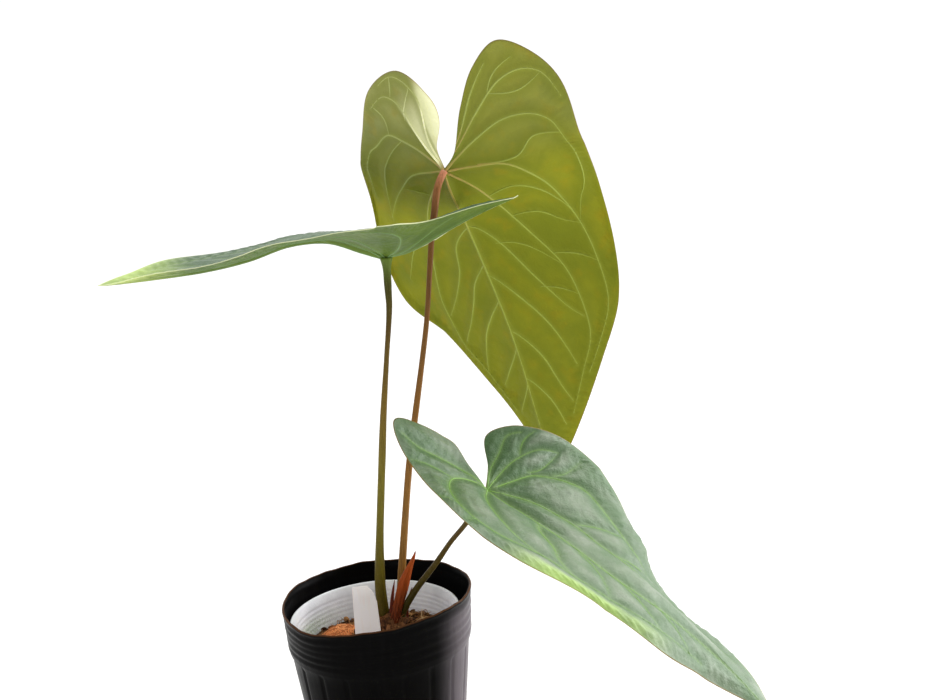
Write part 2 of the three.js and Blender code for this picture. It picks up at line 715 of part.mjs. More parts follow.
piece('outer_pot', outerPot(), 'black_film');
piece('inner_pot', innerPot(), 'clear_film');
piece('growing_medium', growingMedium(), 'coir_mix');
for (const [name, spec] of Object.entries(TUFTS)) piece(name, tuft(spec), 'coir_fibre');
piece('plant_label', label(), 'tag_plastic');
piece('crown', crown(), 'crown_bark');
piece('cataphyll_tall', tallSheath(), 'dry_sheath');
for (const [name, points] of Object.entries(SPIKES)) piece(name, spike(points), 'red_sheath');
piece('petiole_upright', stalk(STALKS.petiole_upright), 'stalk_brown');
piece('petiole_level', stalk(STALKS.petiole_level), 'stalk_olive');
piece('petiole_low', stalk(STALKS.petiole_low), 'stalk_dark');
piece('blade_upright', bladeGeometry(BLADES.blade_upright), 'leaf_olive');
piece('blade_level', bladeGeometry(BLADES.blade_level), 'leaf_green');
piece('blade_low', bladeGeometry(BLADES.blade_low), 'leaf_green');

export default plant;
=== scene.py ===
"""Looks of a potted anthurium hybrid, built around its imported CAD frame.

Three quilted heart-shaped blades stand on long stalks over a rough crown, in coir, in a milky liner
nested in a thin black film pot. Sizes are millimetres in the classes and metres in the meshes.
"""

import logging
import math
import random
from contextlib import contextmanager
from dataclasses import dataclass, field
from enum import Enum
from typing import Callable, Iterator, Sequence

import bpy
import numpy as np
from mathutils import Matrix, Vector, noise


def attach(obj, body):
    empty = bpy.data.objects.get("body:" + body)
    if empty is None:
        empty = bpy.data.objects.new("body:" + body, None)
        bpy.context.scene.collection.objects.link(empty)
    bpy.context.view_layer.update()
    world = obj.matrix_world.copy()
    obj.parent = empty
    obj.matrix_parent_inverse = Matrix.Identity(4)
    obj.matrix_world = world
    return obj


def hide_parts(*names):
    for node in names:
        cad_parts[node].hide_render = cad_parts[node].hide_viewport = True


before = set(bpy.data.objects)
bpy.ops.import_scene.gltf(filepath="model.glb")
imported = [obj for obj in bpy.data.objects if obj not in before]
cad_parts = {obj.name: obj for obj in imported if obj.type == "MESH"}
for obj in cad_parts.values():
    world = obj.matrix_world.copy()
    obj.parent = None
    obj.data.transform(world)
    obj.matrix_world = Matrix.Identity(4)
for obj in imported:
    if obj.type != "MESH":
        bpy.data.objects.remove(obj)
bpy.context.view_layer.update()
BODY = "root"
MM = 0.001
MERGE = 2e-6
TUBE_SAMPLES = 400
LOG = logging.getLogger("anthurium")

Color = tuple[float, float, float]
Point = tuple[float, float, float]
Socket = bpy.types.NodeSocket
Piece = bpy.types.Object
Material = bpy.types.Material
Tint = Callable[[np.ndarray, np.ndarray, np.ndarray, int], np.ndarray]


# Curves and meshes


class Track:
    """A smooth track through values at uneven knots, running straight on past its ends."""

    def __init__(self, knots: Sequence[float], values: Sequence) -> None:
        """Works out the slopes.

        Args:
            knots: rising positions.
            values: one number or one row of numbers for each knot.
        """
        self.knots = np.array(knots, float)
        rows = np.array(values, float)
        self.values = rows[:, None] if rows.ndim == 1 else rows
        step = np.diff(self.knots)[:, None]
        rise = np.diff(self.values, axis=0) / step
        slopes = np.zeros_like(self.values)
        slopes[1:-1] = (rise[:-1] * step[1:] + rise[1:] * step[:-1]) / (step[1:] + step[:-1])
        slopes[0] = 1.5 * rise[0] - 0.5 * slopes[1]
        slopes[-1] = 1.5 * rise[-1] - 0.5 * slopes[-2]
        self.slopes = slopes

    def at(self, x: np.ndarray | float) -> np.ndarray:
        """Evaluates the track.

        Args:
            x: positions, also beyond the knots.

        Returns:
            One row of values for each x.
        """
        x = np.atleast_1d(np.asarray(x, float))
        i = np.clip(np.searchsorted(self.knots, x, side="right") - 1, 0, len(self.knots) - 2)
        h = (self.knots[i + 1] - self.knots[i])[:, None]
        u = ((x - self.knots[i])[:, None]) / h
        out = (
            self.values[i] * (1 + 2 * u) * (1 - u) ** 2
            + self.slopes[i] * h * u * (1 - u) ** 2
            + self.values[i + 1] * u * u * (3 - 2 * u)
            + self.slopes[i + 1] * h * u * u * (u - 1)
        )
        low, high = x < self.knots[0], x > self.knots[-1]
        out[low] = self.values[0] + self.slopes[0] * (x[low] - self.knots[0])[:, None]
        out[high] = self.values[-1] + self.slopes[-1] * (x[high] - self.knots[-1])[:, None]
        return out


def lengths(points: np.ndarray, power: float = 1.0) -> np.ndarray:
    """Returns the running length at each point, each chord raised to power."""
    chords = np.linalg.norm(np.diff(points, axis=0), axis=1) ** power
    return np.concatenate([[0.0], np.cumsum(chords)])


def smoothstep(x: np.ndarray | float, low: float, high: float) -> np.ndarray:
    """Returns 0 below low, 1 above high and a smooth rise between."""
    u = np.clip((np.asarray(x, float) - low) / (high - low), 0, 1)
    return u * u * (3 - 2 * u)


def unit(rows: np.ndarray) -> np.ndarray:
    """Returns the rows at length 1."""
    return rows / np.linalg.norm(rows, axis=-1, keepdims=True)


def mesh_piece(name: str, points: np.ndarray, faces: Sequence, attributes: dict | None = None) -> Piece:
    """Makes a smooth-shaded mesh object from points in millimetres.

    Args:
        name: the piece's name.
        points: one row for each vertex.
        faces: corner numbers of each face.
        attributes: float values for each vertex, by attribute name.

    Returns:
        The new object, at the origin.
    """
    mesh = bpy.data.meshes.new(name)
    mesh.from_pydata((np.asarray(points, float) * MM).tolist(), [], [list(map(int, f)) for f in faces])
    for key, values in (attributes or {}).items():
        layer = mesh.attributes.new(key, "FLOAT", "POINT")
        layer.data.foreach_set("value", np.asarray(values, np.float32).ravel())
    mesh.update()
    piece = linked(name, mesh)
    soften(piece)
    return piece


def linked(name: str, data: bpy.types.ID) -> Piece:
    """Adds an object to the scene.

    Args:
        name: the object's name.
        data: its mesh, lamp or camera.

    Returns:
        The new object.
    """
    piece = bpy.data.objects.new(name, data)
    bpy.context.scene.collection.objects.link(piece)
    return piece


def soften(piece: Piece) -> None:
    """Sets all faces of a piece to smooth shading."""
    piece.data.polygons.foreach_set("use_smooth", np.ones(len(piece.data.polygons), bool))


def only(piece: Piece) -> None:
    """Makes a piece the one selected and active object.

    Args:
        piece: the object.
    """
    bpy.ops.object.select_all(action="DESELECT")
    piece.select_set(True)
    bpy.context.view_layer.objects.active = piece


@contextmanager
def editing(piece: Piece) -> Iterator[None]:
    """Holds a piece in edit mode with all of it selected.

    Args:
        piece: a mesh object.

    Yields:
        Nothing, while the edit goes on.
    """
    only(piece)
    bpy.ops.object.mode_set(mode="EDIT")
    bpy.ops.mesh.select_all(action="SELECT")
    yield
    bpy.ops.object.mode_set(mode="OBJECT")


def dress(piece: Piece, slot: str, nodes: Sequence[str], *materials: Material) -> None:
    """Gives a piece its materials and its body, and hides the CAD nodes it stands for.

    Args:
        piece: the finished piece.
        slot: not used.
        nodes: the CAD nodes it replaces, if any.
        materials: its materials, if it has none yet.
    """
    for material in materials:
        piece.data.materials.append(material)
    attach(piece, BODY)
    if nodes:
        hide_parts(*nodes)
    LOG.info("%s: %d faces", piece.name, len(piece.data.polygons))


def spun(name: str, profile: Sequence[tuple[float, float]], steps: int) -> Piece:
    """Turns a profile of radius and height, in millimetres, round the Z axis.

    Args:
        name: the piece's name.
        profile: the outline from the axis and back to it.
        steps: how many sides the turned shape has.

    Returns:
        The closed piece, facing out.
    """
    mesh = bpy.data.meshes.new(name)
    points = [(r * MM, 0, z * MM) for r, z in profile]
    mesh.from_pydata(points, [(i, i + 1) for i in range(len(points) - 1)], [])
    piece = linked(name, mesh)
    with editing(piece):
        bpy.ops.mesh.spin(steps=steps, angle=2 * math.pi, center=(0, 0, 0), axis=(0, 0, 1))
    with editing(piece):
        bpy.ops.mesh.remove_doubles(threshold=MERGE)
        bpy.ops.mesh.normals_make_consistent(inside=False)
    soften(piece)
    return piece


def vertex_array(piece: Piece) -> np.ndarray:
    """Reads a piece's vertices.

    Args:
        piece: a mesh object.

    Returns:
        One row of millimetres for each vertex.
    """
    rows = np.zeros(len(piece.data.vertices) * 3, np.float32)
    piece.data.vertices.foreach_get("co", rows)
    return rows.reshape(-1, 3).astype(float) / MM


def move_vertices(piece: Piece, rows: np.ndarray) -> None:
    """Puts a piece's vertices at rows of millimetres."""
    piece.data.vertices.foreach_set("co", (rows * MM).astype(np.float32).ravel())
    piece.data.update()


def add_attribute(piece: Piece, key: str, values: np.ndarray) -> None:
    """Adds a float for each vertex to a piece."""
    layer = piece.data.attributes.new(key, "FLOAT", "POINT")
    layer.data.foreach_set("value", np.asarray(values, np.float32).ravel())


def carried(tangent: np.ndarray) -> np.ndarray:
    """Carries a sideways direction along a path without twisting it.

    Args:
        tangent: the path's direction at each point, at length 1.

    Returns:
        One sideways direction for each point, at length 1.
    """
    side = np.cross(tangent[0], (0.0, 1.0, 0.0) if abs(tangent[0][1]) < 0.9 else (1.0, 0.0, 0.0))
    sideways = []
    for direction in tangent:
        side = side - direction * side.dot(direction)
        side = side / np.linalg.norm(side)
        sideways.append(side)
    return np.array(sideways)


class Tubes:
    """Collects many round or oval tubes into one mesh."""

    def __init__(self) -> None:
        """Starts with no tube."""
        self.points: list[np.ndarray] = []
        self.faces: list[tuple[int, ...]] = []
        self.along: list[np.ndarray] = []
        self.shade: list[np.ndarray] = []
        self.lit: list[np.ndarray] = []
        self.count = 0

    def add(
        self,
        path: Sequence[Point],
        radii: Sequence[tuple[float, float]],
        sides: int = 6,
        steps: int = 8,
        flatten: float = 1.0,
        shade: float = 0.5,
        rough: Callable[[np.ndarray, np.ndarray], np.ndarray] | None = None,
        lit: Sequence[float] = (0.0, 0.0),
    ) -> None:
        """Adds one closed tube.

        Args:
            path: the points its middle runs through, in millimetres.
            radii: share along the path and radius there.
            sides: sides round the tube.
            steps: rings along it.
            flatten: its thickness against its width.
            shade: a tone from 0 to 1 kept on its vertices.
            rough: factor on the radius by share along and angle round.
            lit: painted glow from 0 to 1 at even steps along it.
        """
        points = np.array(path, float)
        middle = Track(lengths(points, 0.5), points)
        fine = middle.at(np.linspace(0, middle.knots[-1], TUBE_SAMPLES))
        run = lengths(fine)
        share = np.linspace(0, 1, steps + 1)
        centre = np.stack([np.interp(share * run[-1], run, fine[:, c]) for c in range(3)], -1)
        tangent = unit(np.gradient(centre, axis=0))
        sideways = carried(tangent)
        other = np.cross(tangent, sideways)
        radius = Track([r[0] for r in radii], [r[1] for r in radii]).at(share)[:, 0]
        angle = np.arange(sides) * 2 * math.pi / sides
        size = radius[:, None] * np.ones(sides)[None]
        if rough:
            size = size * rough(share[:, None], angle[None])
        rings = (
            centre[:, None]
            + sideways[:, None] * (size * np.cos(angle))[..., None]
            + other[:, None] * (size * flatten * np.sin(angle))[..., None]
        )
        base = self.count
        for i in range(steps):
            for j in range(sides):
                k = (j + 1) % sides
                low, high = base + i * sides, base + (i + 1) * sides
                self.faces.append((low + j, low + k, high + k, high + j))
        self.faces.append(tuple(base + j for j in reversed(range(sides))))
        self.faces.append(tuple(base + steps * sides + j for j in range(sides)))
        self.points.append(rings.reshape(-1, 3))
        self.along.append(np.repeat(share, sides))
        self.shade.append(np.full((steps + 1) * sides, shade))
        self.lit.append(np.repeat(np.interp(share, np.linspace(0, 1, len(lit)), lit), sides))
        self.count += (steps + 1) * sides

    def piece(self, name: str) -> Piece:
        """Makes one object of all tubes.

        Args:
            name: the object's name.

        Returns:
            The object, with its marks.
        """
        marks = {"along": self.along, "shade": self.shade, "glow": self.lit}
        marks = {key: np.concatenate(rows) for key, rows in marks.items()}
        return mesh_piece(name, np.concatenate(self.points), self.faces, marks)


# Materials


class Sheet:
    """Short calls for laying out a material's nodes."""

    def __init__(self, tree: bpy.types.NodeTree) -> None:
        """Works on one node tree."""
        self.tree = tree
        self.nodes = tree.nodes

    def put(self, value: object, socket: Socket) -> None:
        """Links a socket, or sets a number or colour on it.

        Args:
            value: a socket, a number or a tuple.
            socket: the input to fill.
        """
        if isinstance(value, Socket):
            self.tree.links.new(value, socket)
        elif isinstance(value, tuple) and len(value) == 3 and socket.type == "RGBA":
            socket.default_value = (*value, 1.0)
        else:
            socket.default_value = value

    def node(self, kind: str, settings: dict | None = None, **inputs: object) -> bpy.types.Node:
        """Adds a node.

        Args:
            kind: the node's type.
            settings: its own properties, by name.
            inputs: values or sockets by input name, with _ for a space.

        Returns:
            The node.
        """
        made = self.nodes.new(kind)
        for key, value in (settings or {}).items():
            setattr(made, key, value)
        for key, value in inputs.items():
            self.put(value, made.inputs[key.replace("_", " ")])
        return made

    def math(self, operation: str, a: object, b: object) -> Socket:
        """Adds a math node.

        Args:
            operation: the node's operation.
            a: its first number.
            b: its second number.

        Returns:
            The result.
        """
        made = self.node("ShaderNodeMath", {"operation": operation})
        self.put(a, made.inputs[0])
        self.put(b, made.inputs[1])
        return made.outputs[0]

    def mix(self, share: object, a: object, b: object) -> Socket:
        """Mixes two colours.

        Args:
            share: 0 for a and 1 for b.
            a: one colour.
            b: the other colour.

        Returns:
            The mixed colour.
        """
        made = self.node("ShaderNodeMix", {"data_type": "RGBA", "clamp_factor": True})
        self.put(share, made.inputs[0])
        self.put(a, made.inputs[6])
        self.put(b, made.inputs[7])
        return made.outputs[2]

    def span(
        self, value: object, low: float, high: float, out_low: float = 0.0, out_high: float = 1.0
    ) -> Socket:
        """Maps a value smoothly from one range to another.

        Args:
            value: the value.
            low: start of its range.
            high: end of its range.
            out_low: result at low and below.
            out_high: result at high and above.

        Returns:
            The mapped value.
        """
        made = self.node("ShaderNodeMapRange", {"interpolation_type": "SMOOTHSTEP", "clamp": True})
        for slot, number in enumerate((value, low, high, out_low, out_high)):
            self.put(number, made.inputs[slot])
        return made.outputs[0]

    def mark(self, name: str) -> Socket:
        """Returns a vertex attribute as a number."""
        return self.node("ShaderNodeAttribute", {"attribute_name": name}).outputs["Fac"]

    def place(self, stretch: Point = (1, 1, 1)) -> Socket:
        """Stretches the object coordinates.

        Args:
            stretch: factor on each axis.

        Returns:
            The coordinates.
        """
        coordinates = self.node("ShaderNodeTexCoord").outputs["Object"]
        made = self.node("ShaderNodeMapping", Vector=coordinates)
        made.inputs["Scale"].default_value = stretch
        return made.outputs[0]

    def noise(self, scale: float, detail: float = 4, stretch: Point = (1, 1, 1)) -> Socket:
        """Adds a noise texture.

        Args:
            scale: its scale per metre.
            detail: its number of octaves.
            stretch: factor on each axis.

        Returns:
            The noise value.
        """
        where = self.place(stretch)
        made = self.node("ShaderNodeTexNoise", Vector=where, Scale=scale, Detail=detail, Roughness=0.55)
        return made.outputs["Fac"]

    def bump(self, height: object, distance: float, strength: float = 1.0) -> Socket:
        """Returns a normal bumped by height times distance in metres."""
        return self.node("ShaderNodeBump", Height=height, Distance=distance, Strength=strength).outputs[0]


def new_material(name: str) -> tuple[Material, Sheet, bpy.types.Node]:
    """Makes a material that holds a shader alone.

    Args:
        name: the material's name.

    Returns:
        The material, its sheet and its Principled shader.
    """
    material = bpy.data.materials.new(name)
    material.use_nodes = True
    material.node_tree.nodes.clear()
    sheet = Sheet(material.node_tree)
    shader = sheet.node("ShaderNodeBsdfPrincipled")
    output = sheet.node("ShaderNodeOutputMaterial")
    sheet.tree.links.new(shader.outputs[0], output.inputs[0])
    return material, sheet, shader


def mottle_group() -> bpy.types.NodeTree:
    """Makes the shared mottle group, or finds it.

    Returns:
        The group that turns object coordinates into cloudy and grainy tones.
    """
    name = "grown_mottle"
    if name in bpy.data.node_groups:
        return bpy.data.node_groups[name]
    group = bpy.data.node_groups.new(name, "ShaderNodeTree")
    for socket, start in (("Cloud Scale", 30.0), ("Grain Scale", 900.0)):
        made = group.interface.new_socket(name=socket, in_out="INPUT", socket_type="NodeSocketFloat")
        made.default_value = start
    for socket in ("Cloud", "Grain"):
        group.interface.new_socket(name=socket, in_out="OUTPUT", socket_type="NodeSocketFloat")
    sheet = Sheet(group)
    inlet = sheet.node("NodeGroupInput")
    outlet = sheet.node("NodeGroupOutput")
    where = sheet.node("ShaderNodeTexCoord").outputs["Object"]
    for label, detail in (("Cloud", 3.0), ("Grain", 6.0)):
        tone = sheet.node("ShaderNodeTexNoise", Vector=where, Detail=detail, Roughness=0.6)
        sheet.put(inlet.outputs[f"{label} Scale"], tone.inputs["Scale"])
        sheet.put(sheet.span(tone.outputs["Fac"], 0.3, 0.7), outlet.inputs[label])
    return group


def mottle(sheet: Sheet, cloud: float, grain: float) -> tuple[Socket, Socket]:
    """Adds the shared mottle group to a material.

    Args:
        sheet: the material's sheet.
        cloud: scale of the cloudy tone.
        grain: scale of the grainy tone.

    Returns:
        The cloudy and the grainy tone.
    """
    made = sheet.node("ShaderNodeGroup", {"node_tree": mottle_group()})
    made.inputs["Cloud Scale"].default_value = cloud
    made.inputs["Grain Scale"].default_value = grain
    return made.outputs["Cloud"], made.outputs["Grain"]


@dataclass(frozen=True)
class LeafFinish:
    """The skin of one face of a blade, with painted light coming through where the glow mark is set and
    painted shade beside the veins.
    """

    name: str
    base: Color
    shade: Color
    vein: Color
    # Colour of the painted light coming through the blade, also shone as emission.
    glow: Color
    edge: Color
    blotch: Color
    roughness: float = 0.45
    gloss: float = 0.5
    coat: float = 0.0
    blotching: float = 0.35
    bump: float = 0.0005
    edge_width: float = 0.8
    # Strength of that painted glow as emission.
    through: float = 0.25
    # How strongly painted shade darkens the valleys beside the veins.
    valley_shading: float = 0.4

    def material(self) -> Material:
        """Lays out the skin, driven by the blade's own marks.

        Returns:
            The material.
        """
        material, sheet, shader = new_material(self.name)
        cloud, grain = mottle(sheet, 28, 700)
        body = sheet.mix(cloud, self.shade, self.base)
        # Painted light coming through the blade, where the glow mark is set.
        body = sheet.mix(sheet.mark("glow"), body, self.glow)
        blotch = sheet.span(sheet.noise(75, 3), 0.52, 0.7)
        body = sheet.mix(sheet.math("MULTIPLY", blotch, self.blotching), body, self.blotch)
        body = sheet.mix(sheet.math("MULTIPLY", grain, 0.16), body, self.shade)
        # Painted shade in the quilted valleys beside the veins.
        body = sheet.mix(sheet.math("MULTIPLY", sheet.mark("deep"), self.valley_shading), body, self.shade)
        body = sheet.mix(sheet.mark("vein"), body, self.vein)
        rim = sheet.span(sheet.mark("edge"), 0.0, self.edge_width, 1.0, 0.0)
        body = sheet.mix(rim, body, self.edge)
        sheet.put(body, shader.inputs["Base Color"])
        dull = sheet.math("ADD", sheet.math("MULTIPLY", grain, 0.12), self.roughness - 0.05)
        sheet.put(dull, shader.inputs["Roughness"])
        wrinkle = sheet.noise(260, 4)
        height = sheet.math("ADD", wrinkle, sheet.math("MULTIPLY", grain, 0.25))
        sheet.put(sheet.bump(height, self.bump, 0.7), shader.inputs["Normal"])
        # The same painted light shines as emission.
        through = sheet.mix(sheet.mark("glow"), (0.0, 0.0, 0.0), self.glow)
        sheet.put(through, shader.inputs["Emission Color"])
        shader.inputs["Emission Strength"].default_value = self.through
        shader.inputs["Coat Weight"].default_value = self.coat
        shader.inputs["Coat Roughness"].default_value = 0.3
        shader.inputs["Specular IOR Level"].default_value = self.gloss
        return material


@dataclass(frozen=True)
class CordFinish:
    """A vein's skin, from its root at the stalk to its far end, with painted light coming through where its
    glow mark is set.
    """

    name: str
    tone: Color
    root: Color
    sheet: Color
    # Pale colour of the painted light coming through, also shone as emission.
    lit: Color = (0.95, 0.93, 0.6)
    root_share: float = 0.3

    def material(self) -> Material:
        """Lays out the vein's skin, driven by its marks.

        Returns:
            The material.
        """
        material, sheet, shader = new_material(self.name)
        age = sheet.math("ADD", sheet.mark("along"), sheet.mark("shade"))
        fresh = sheet.span(age, 0.0, self.root_share, 1.0, 0.0)
        spent = sheet.span(sheet.mark("along"), 0.45, 1.0, 0.0, 0.8)
        body = sheet.mix(spent, sheet.mix(fresh, self.tone, self.root), self.sheet)
        body = sheet.mix(sheet.noise(300, 3), body, self.tone)
        # Painted light coming through: paler, and shining as emission.
        glow = sheet.mark("glow")
        sheet.put(sheet.mix(glow, body, self.lit), shader.inputs["Base Color"])
        sheet.put(sheet.mix(glow, (0.0, 0.0, 0.0), self.lit), shader.inputs["Emission Color"])
        shader.inputs["Emission Strength"].default_value = 0.5
        shader.inputs["Roughness"].default_value = 0.5
        shader.inputs["Specular IOR Level"].default_value = 0.35
        return material


@dataclass(frozen=True)
class StalkFinish:
    """A stalk's skin, with tones from foot to knee."""

    name: str
    tones: tuple[tuple[float, Color], ...]
    roughness: float = 0.38

    def material(self) -> Material:
        """Lays out the stalk's skin, streaked along its length.

        Returns:
            The material.
        """
        material, sheet, shader = new_material(self.name)
        ramp = sheet.node("ShaderNodeValToRGB", Fac=sheet.mark("along"))
        stops = ramp.color_ramp.elements
        while len(stops) < len(self.tones):
            stops.new(0.5)
        for stop, (place, tone) in zip(stops, self.tones):
            stop.position = place
            stop.color = (*tone, 1.0)
        streak = sheet.noise(900, 3, (1, 1, 0.06))
        speck = sheet.noise(2600, 2)
        dark = sheet.span(streak, 0.45, 0.75, 0, 0.38)
        body = sheet.mix(dark, ramp.outputs["Color"], (0.03, 0.016, 0.006))
        body = sheet.mix(sheet.span(speck, 0.62, 0.7, 0, 0.4), body, (0.4, 0.34, 0.14))
        sheet.put(body, shader.inputs["Base Color"])
        shader.inputs["Roughness"].default_value = self.roughness
        shader.inputs["Specular IOR Level"].default_value = 0.12
        sheet.put(sheet.bump(streak, 0.0004, 0.6), shader.inputs["Normal"])
        return material


@dataclass(frozen=True)
class FibreFinish:
    """Coir, bark and dry sheath: a tone between two colours by piece, with grain and, where set, a painted
    glow.
    """

    name: str
    dark: Color
    light: Color
    roughness: float = 0.85
    stretch: Point = (1, 1, 1)
    grain_scale: float = 1100
    # Strength of a painted glow in the light colour.
    through: float = 0.0

    def material(self) -> Material:
        """Lays out the fibre's skin, with a tone of its own on each tube.

        Returns:
            The material.
        """
        material, sheet, shader = new_material(self.name)
        grain = sheet.noise(self.grain_scale, 5, self.stretch)
        drift = sheet.math("MULTIPLY", sheet.math("SUBTRACT", grain, 0.5), 0.9)
        tone = sheet.math("ADD", sheet.mark("shade"), drift)
        body = sheet.mix(sheet.span(tone, 0.1, 0.9), self.dark, self.light)
        sheet.put(body, shader.inputs["Base Color"])
        shader.inputs["Roughness"].default_value = self.roughness
        shader.inputs["Specular IOR Level"].default_value = 0.15
        # Painted glow in the light colour, where through is set.
        shader.inputs["Emission Color"].default_value = (*self.light, 1.0)
        shader.inputs["Emission Strength"].default_value = self.through
        sheet.put(sheet.bump(grain, 0.0006, 0.7), shader.inputs["Normal"])
        return material


@dataclass(frozen=True)
class FilmFinish:
    """Thin moulded film, with dust, scuffs, a lip of its own colour, a painted grey sheen and a painted
    glow.
    """

    name: str
    base: Color
    dust: Color
    lip: Color
    dust_amount: float = 0.2
    roughness: float = 0.3
    gloss: float = 0.5
    # Colour of the painted sheen, a grey reflection of the light laid into the base colour.
    bloom: Color = (0.14, 0.12, 0.135)
    # Strength of a painted glow in the base colour, which lifts the part out of shade.
    through: float = 0.0

    def material(self) -> Material:
        """Lays out the film, with dust on it, and a painted grey sheen and a painted glow where they are
        set.

        Returns:
            The material.
        """
        material, sheet, shader = new_material(self.name)
        cloud, grain = mottle(sheet, 45, 1500)
        scuff = sheet.noise(260, 4, (1, 1, 0.12))
        patches = sheet.math("MULTIPLY", cloud, sheet.span(scuff, 0.4, 0.75))
        dirt = sheet.math("MULTIPLY", patches, self.dust_amount)
        body = sheet.mix(dirt, self.base, self.dust)
        # Painted sheen: a grey reflection of the light, streaked by the scuffs, where its mark is set.
        bloom = sheet.math("MULTIPLY", sheet.mark("bloom"), sheet.span(scuff, 0.2, 0.6, 0.8, 1.0))
        body = sheet.mix(bloom, body, self.bloom)
        body = sheet.mix(sheet.mark("lip"), body, self.lip)
        sheet.put(body, shader.inputs["Base Color"])
        dull = sheet.math("ADD", sheet.math("MULTIPLY", scuff, 0.2), self.roughness - 0.08)
        sheet.put(dull, shader.inputs["Roughness"])
        height = sheet.math("ADD", sheet.math("MULTIPLY", scuff, 0.7), sheet.math("MULTIPLY", grain, 0.08))
        sheet.put(sheet.bump(height, 0.0005, 0.35), shader.inputs["Normal"])
        shader.inputs["Specular IOR Level"].default_value = self.gloss
        # Painted glow in the base colour, where through is set.
        shader.inputs["Emission Color"].default_value = (*self.base, 1.0)
        shader.inputs["Emission Strength"].default_value = self.through
        return material


# Blades


@dataclass(frozen=True)
class Vein:
    """One vein on the flat sheet: points along and across, how strong it is and how wide its foot is."""

    points: tuple[tuple[float, float], ...]
    strength: float = 1.0
    width: float = 1.15


@dataclass(frozen=True)
class Half:
    """One half of a blade: its fold in degrees, its margin and its veins."""

    fold: tuple[float, ...]
    outline: tuple[tuple[float, float], ...]
    veins: tuple[Vein, ...]


@dataclass(frozen=True)
class Net:
    """The flat grid of one half: row numbers, steps along a row, places, and how they lie to the margin."""

    w: np.ndarray
    v: np.ndarray
    s: np.ndarray
    t: np.ndarray
    inward: np.ndarray
    share: np.ndarray
    along: np.ndarray
    wide: np.ndarray


# Lengths are millimetres on the flat sheet. A row of the grid leaves the rib at a share of its length and
# at an angle, and ends at a share of the margin: (share of margin, share of rib, degrees).
NOTCH = (-2.0, 0.0)
VEIN_ROWS = (
    (0, 0, 135), (0.16, 0, 120), (0.33, 0, 108), (0.43, 0, 95), (0.54, 0, 78), (0.63, 0, 58),
    (0.68, 0.15, 48), (0.73, 0.29, 43), (0.775, 0.43, 40), (0.82, 0.56, 37), (0.87, 0.69, 34),
    (0.92, 0.81, 31), (0.965, 0.915, 28), (1, 1, 25),
)
ROWS_BETWEEN = (6, 6, 3, 4, 3, 2, 2, 2, 2, 2, 2, 2, 2)
ROW_BOW = 0.6
ROW_EASE = 1.15
WIDE_ROW = 40
MARGIN_SAMPLES = 2401

# Relief: the halo beside each vein, the quilting between veins, the margin ribs and the rib's keel below.
VEIN_SAMPLES = 90
MIDRIB_FOOT = 1.4
HALO_TONE = 0.34
HALO_SPREAD = 1.5
QUILT_SHARPNESS = 1.4
RIB_BAND = (0.5, 4, 9, 16)
KEEL_HALF_WIDTH = 2.1
# Painted shade beside the veins: where it begins and how far it reaches.
VALLEY_SHADE_BEGINS, VALLEY_SHADE_REACH = 1.5, 4.5

# Cords: how far they may stray from the grid, how near the margin they stop and how deep they lie in each
# face.
CORD_SAMPLES = 80
CORD_SIDES, CORD_STEPS = 6, 56
CORD_STRAY = 2.2
CORD_FROM_EDGE = 1.2
CORD_SHORTEST = 8
CORD_SUNK = {"over": -0.25, "under": 0.05}
BRANCH_FROM = 12
ROOT_TONE_WITHIN = 25


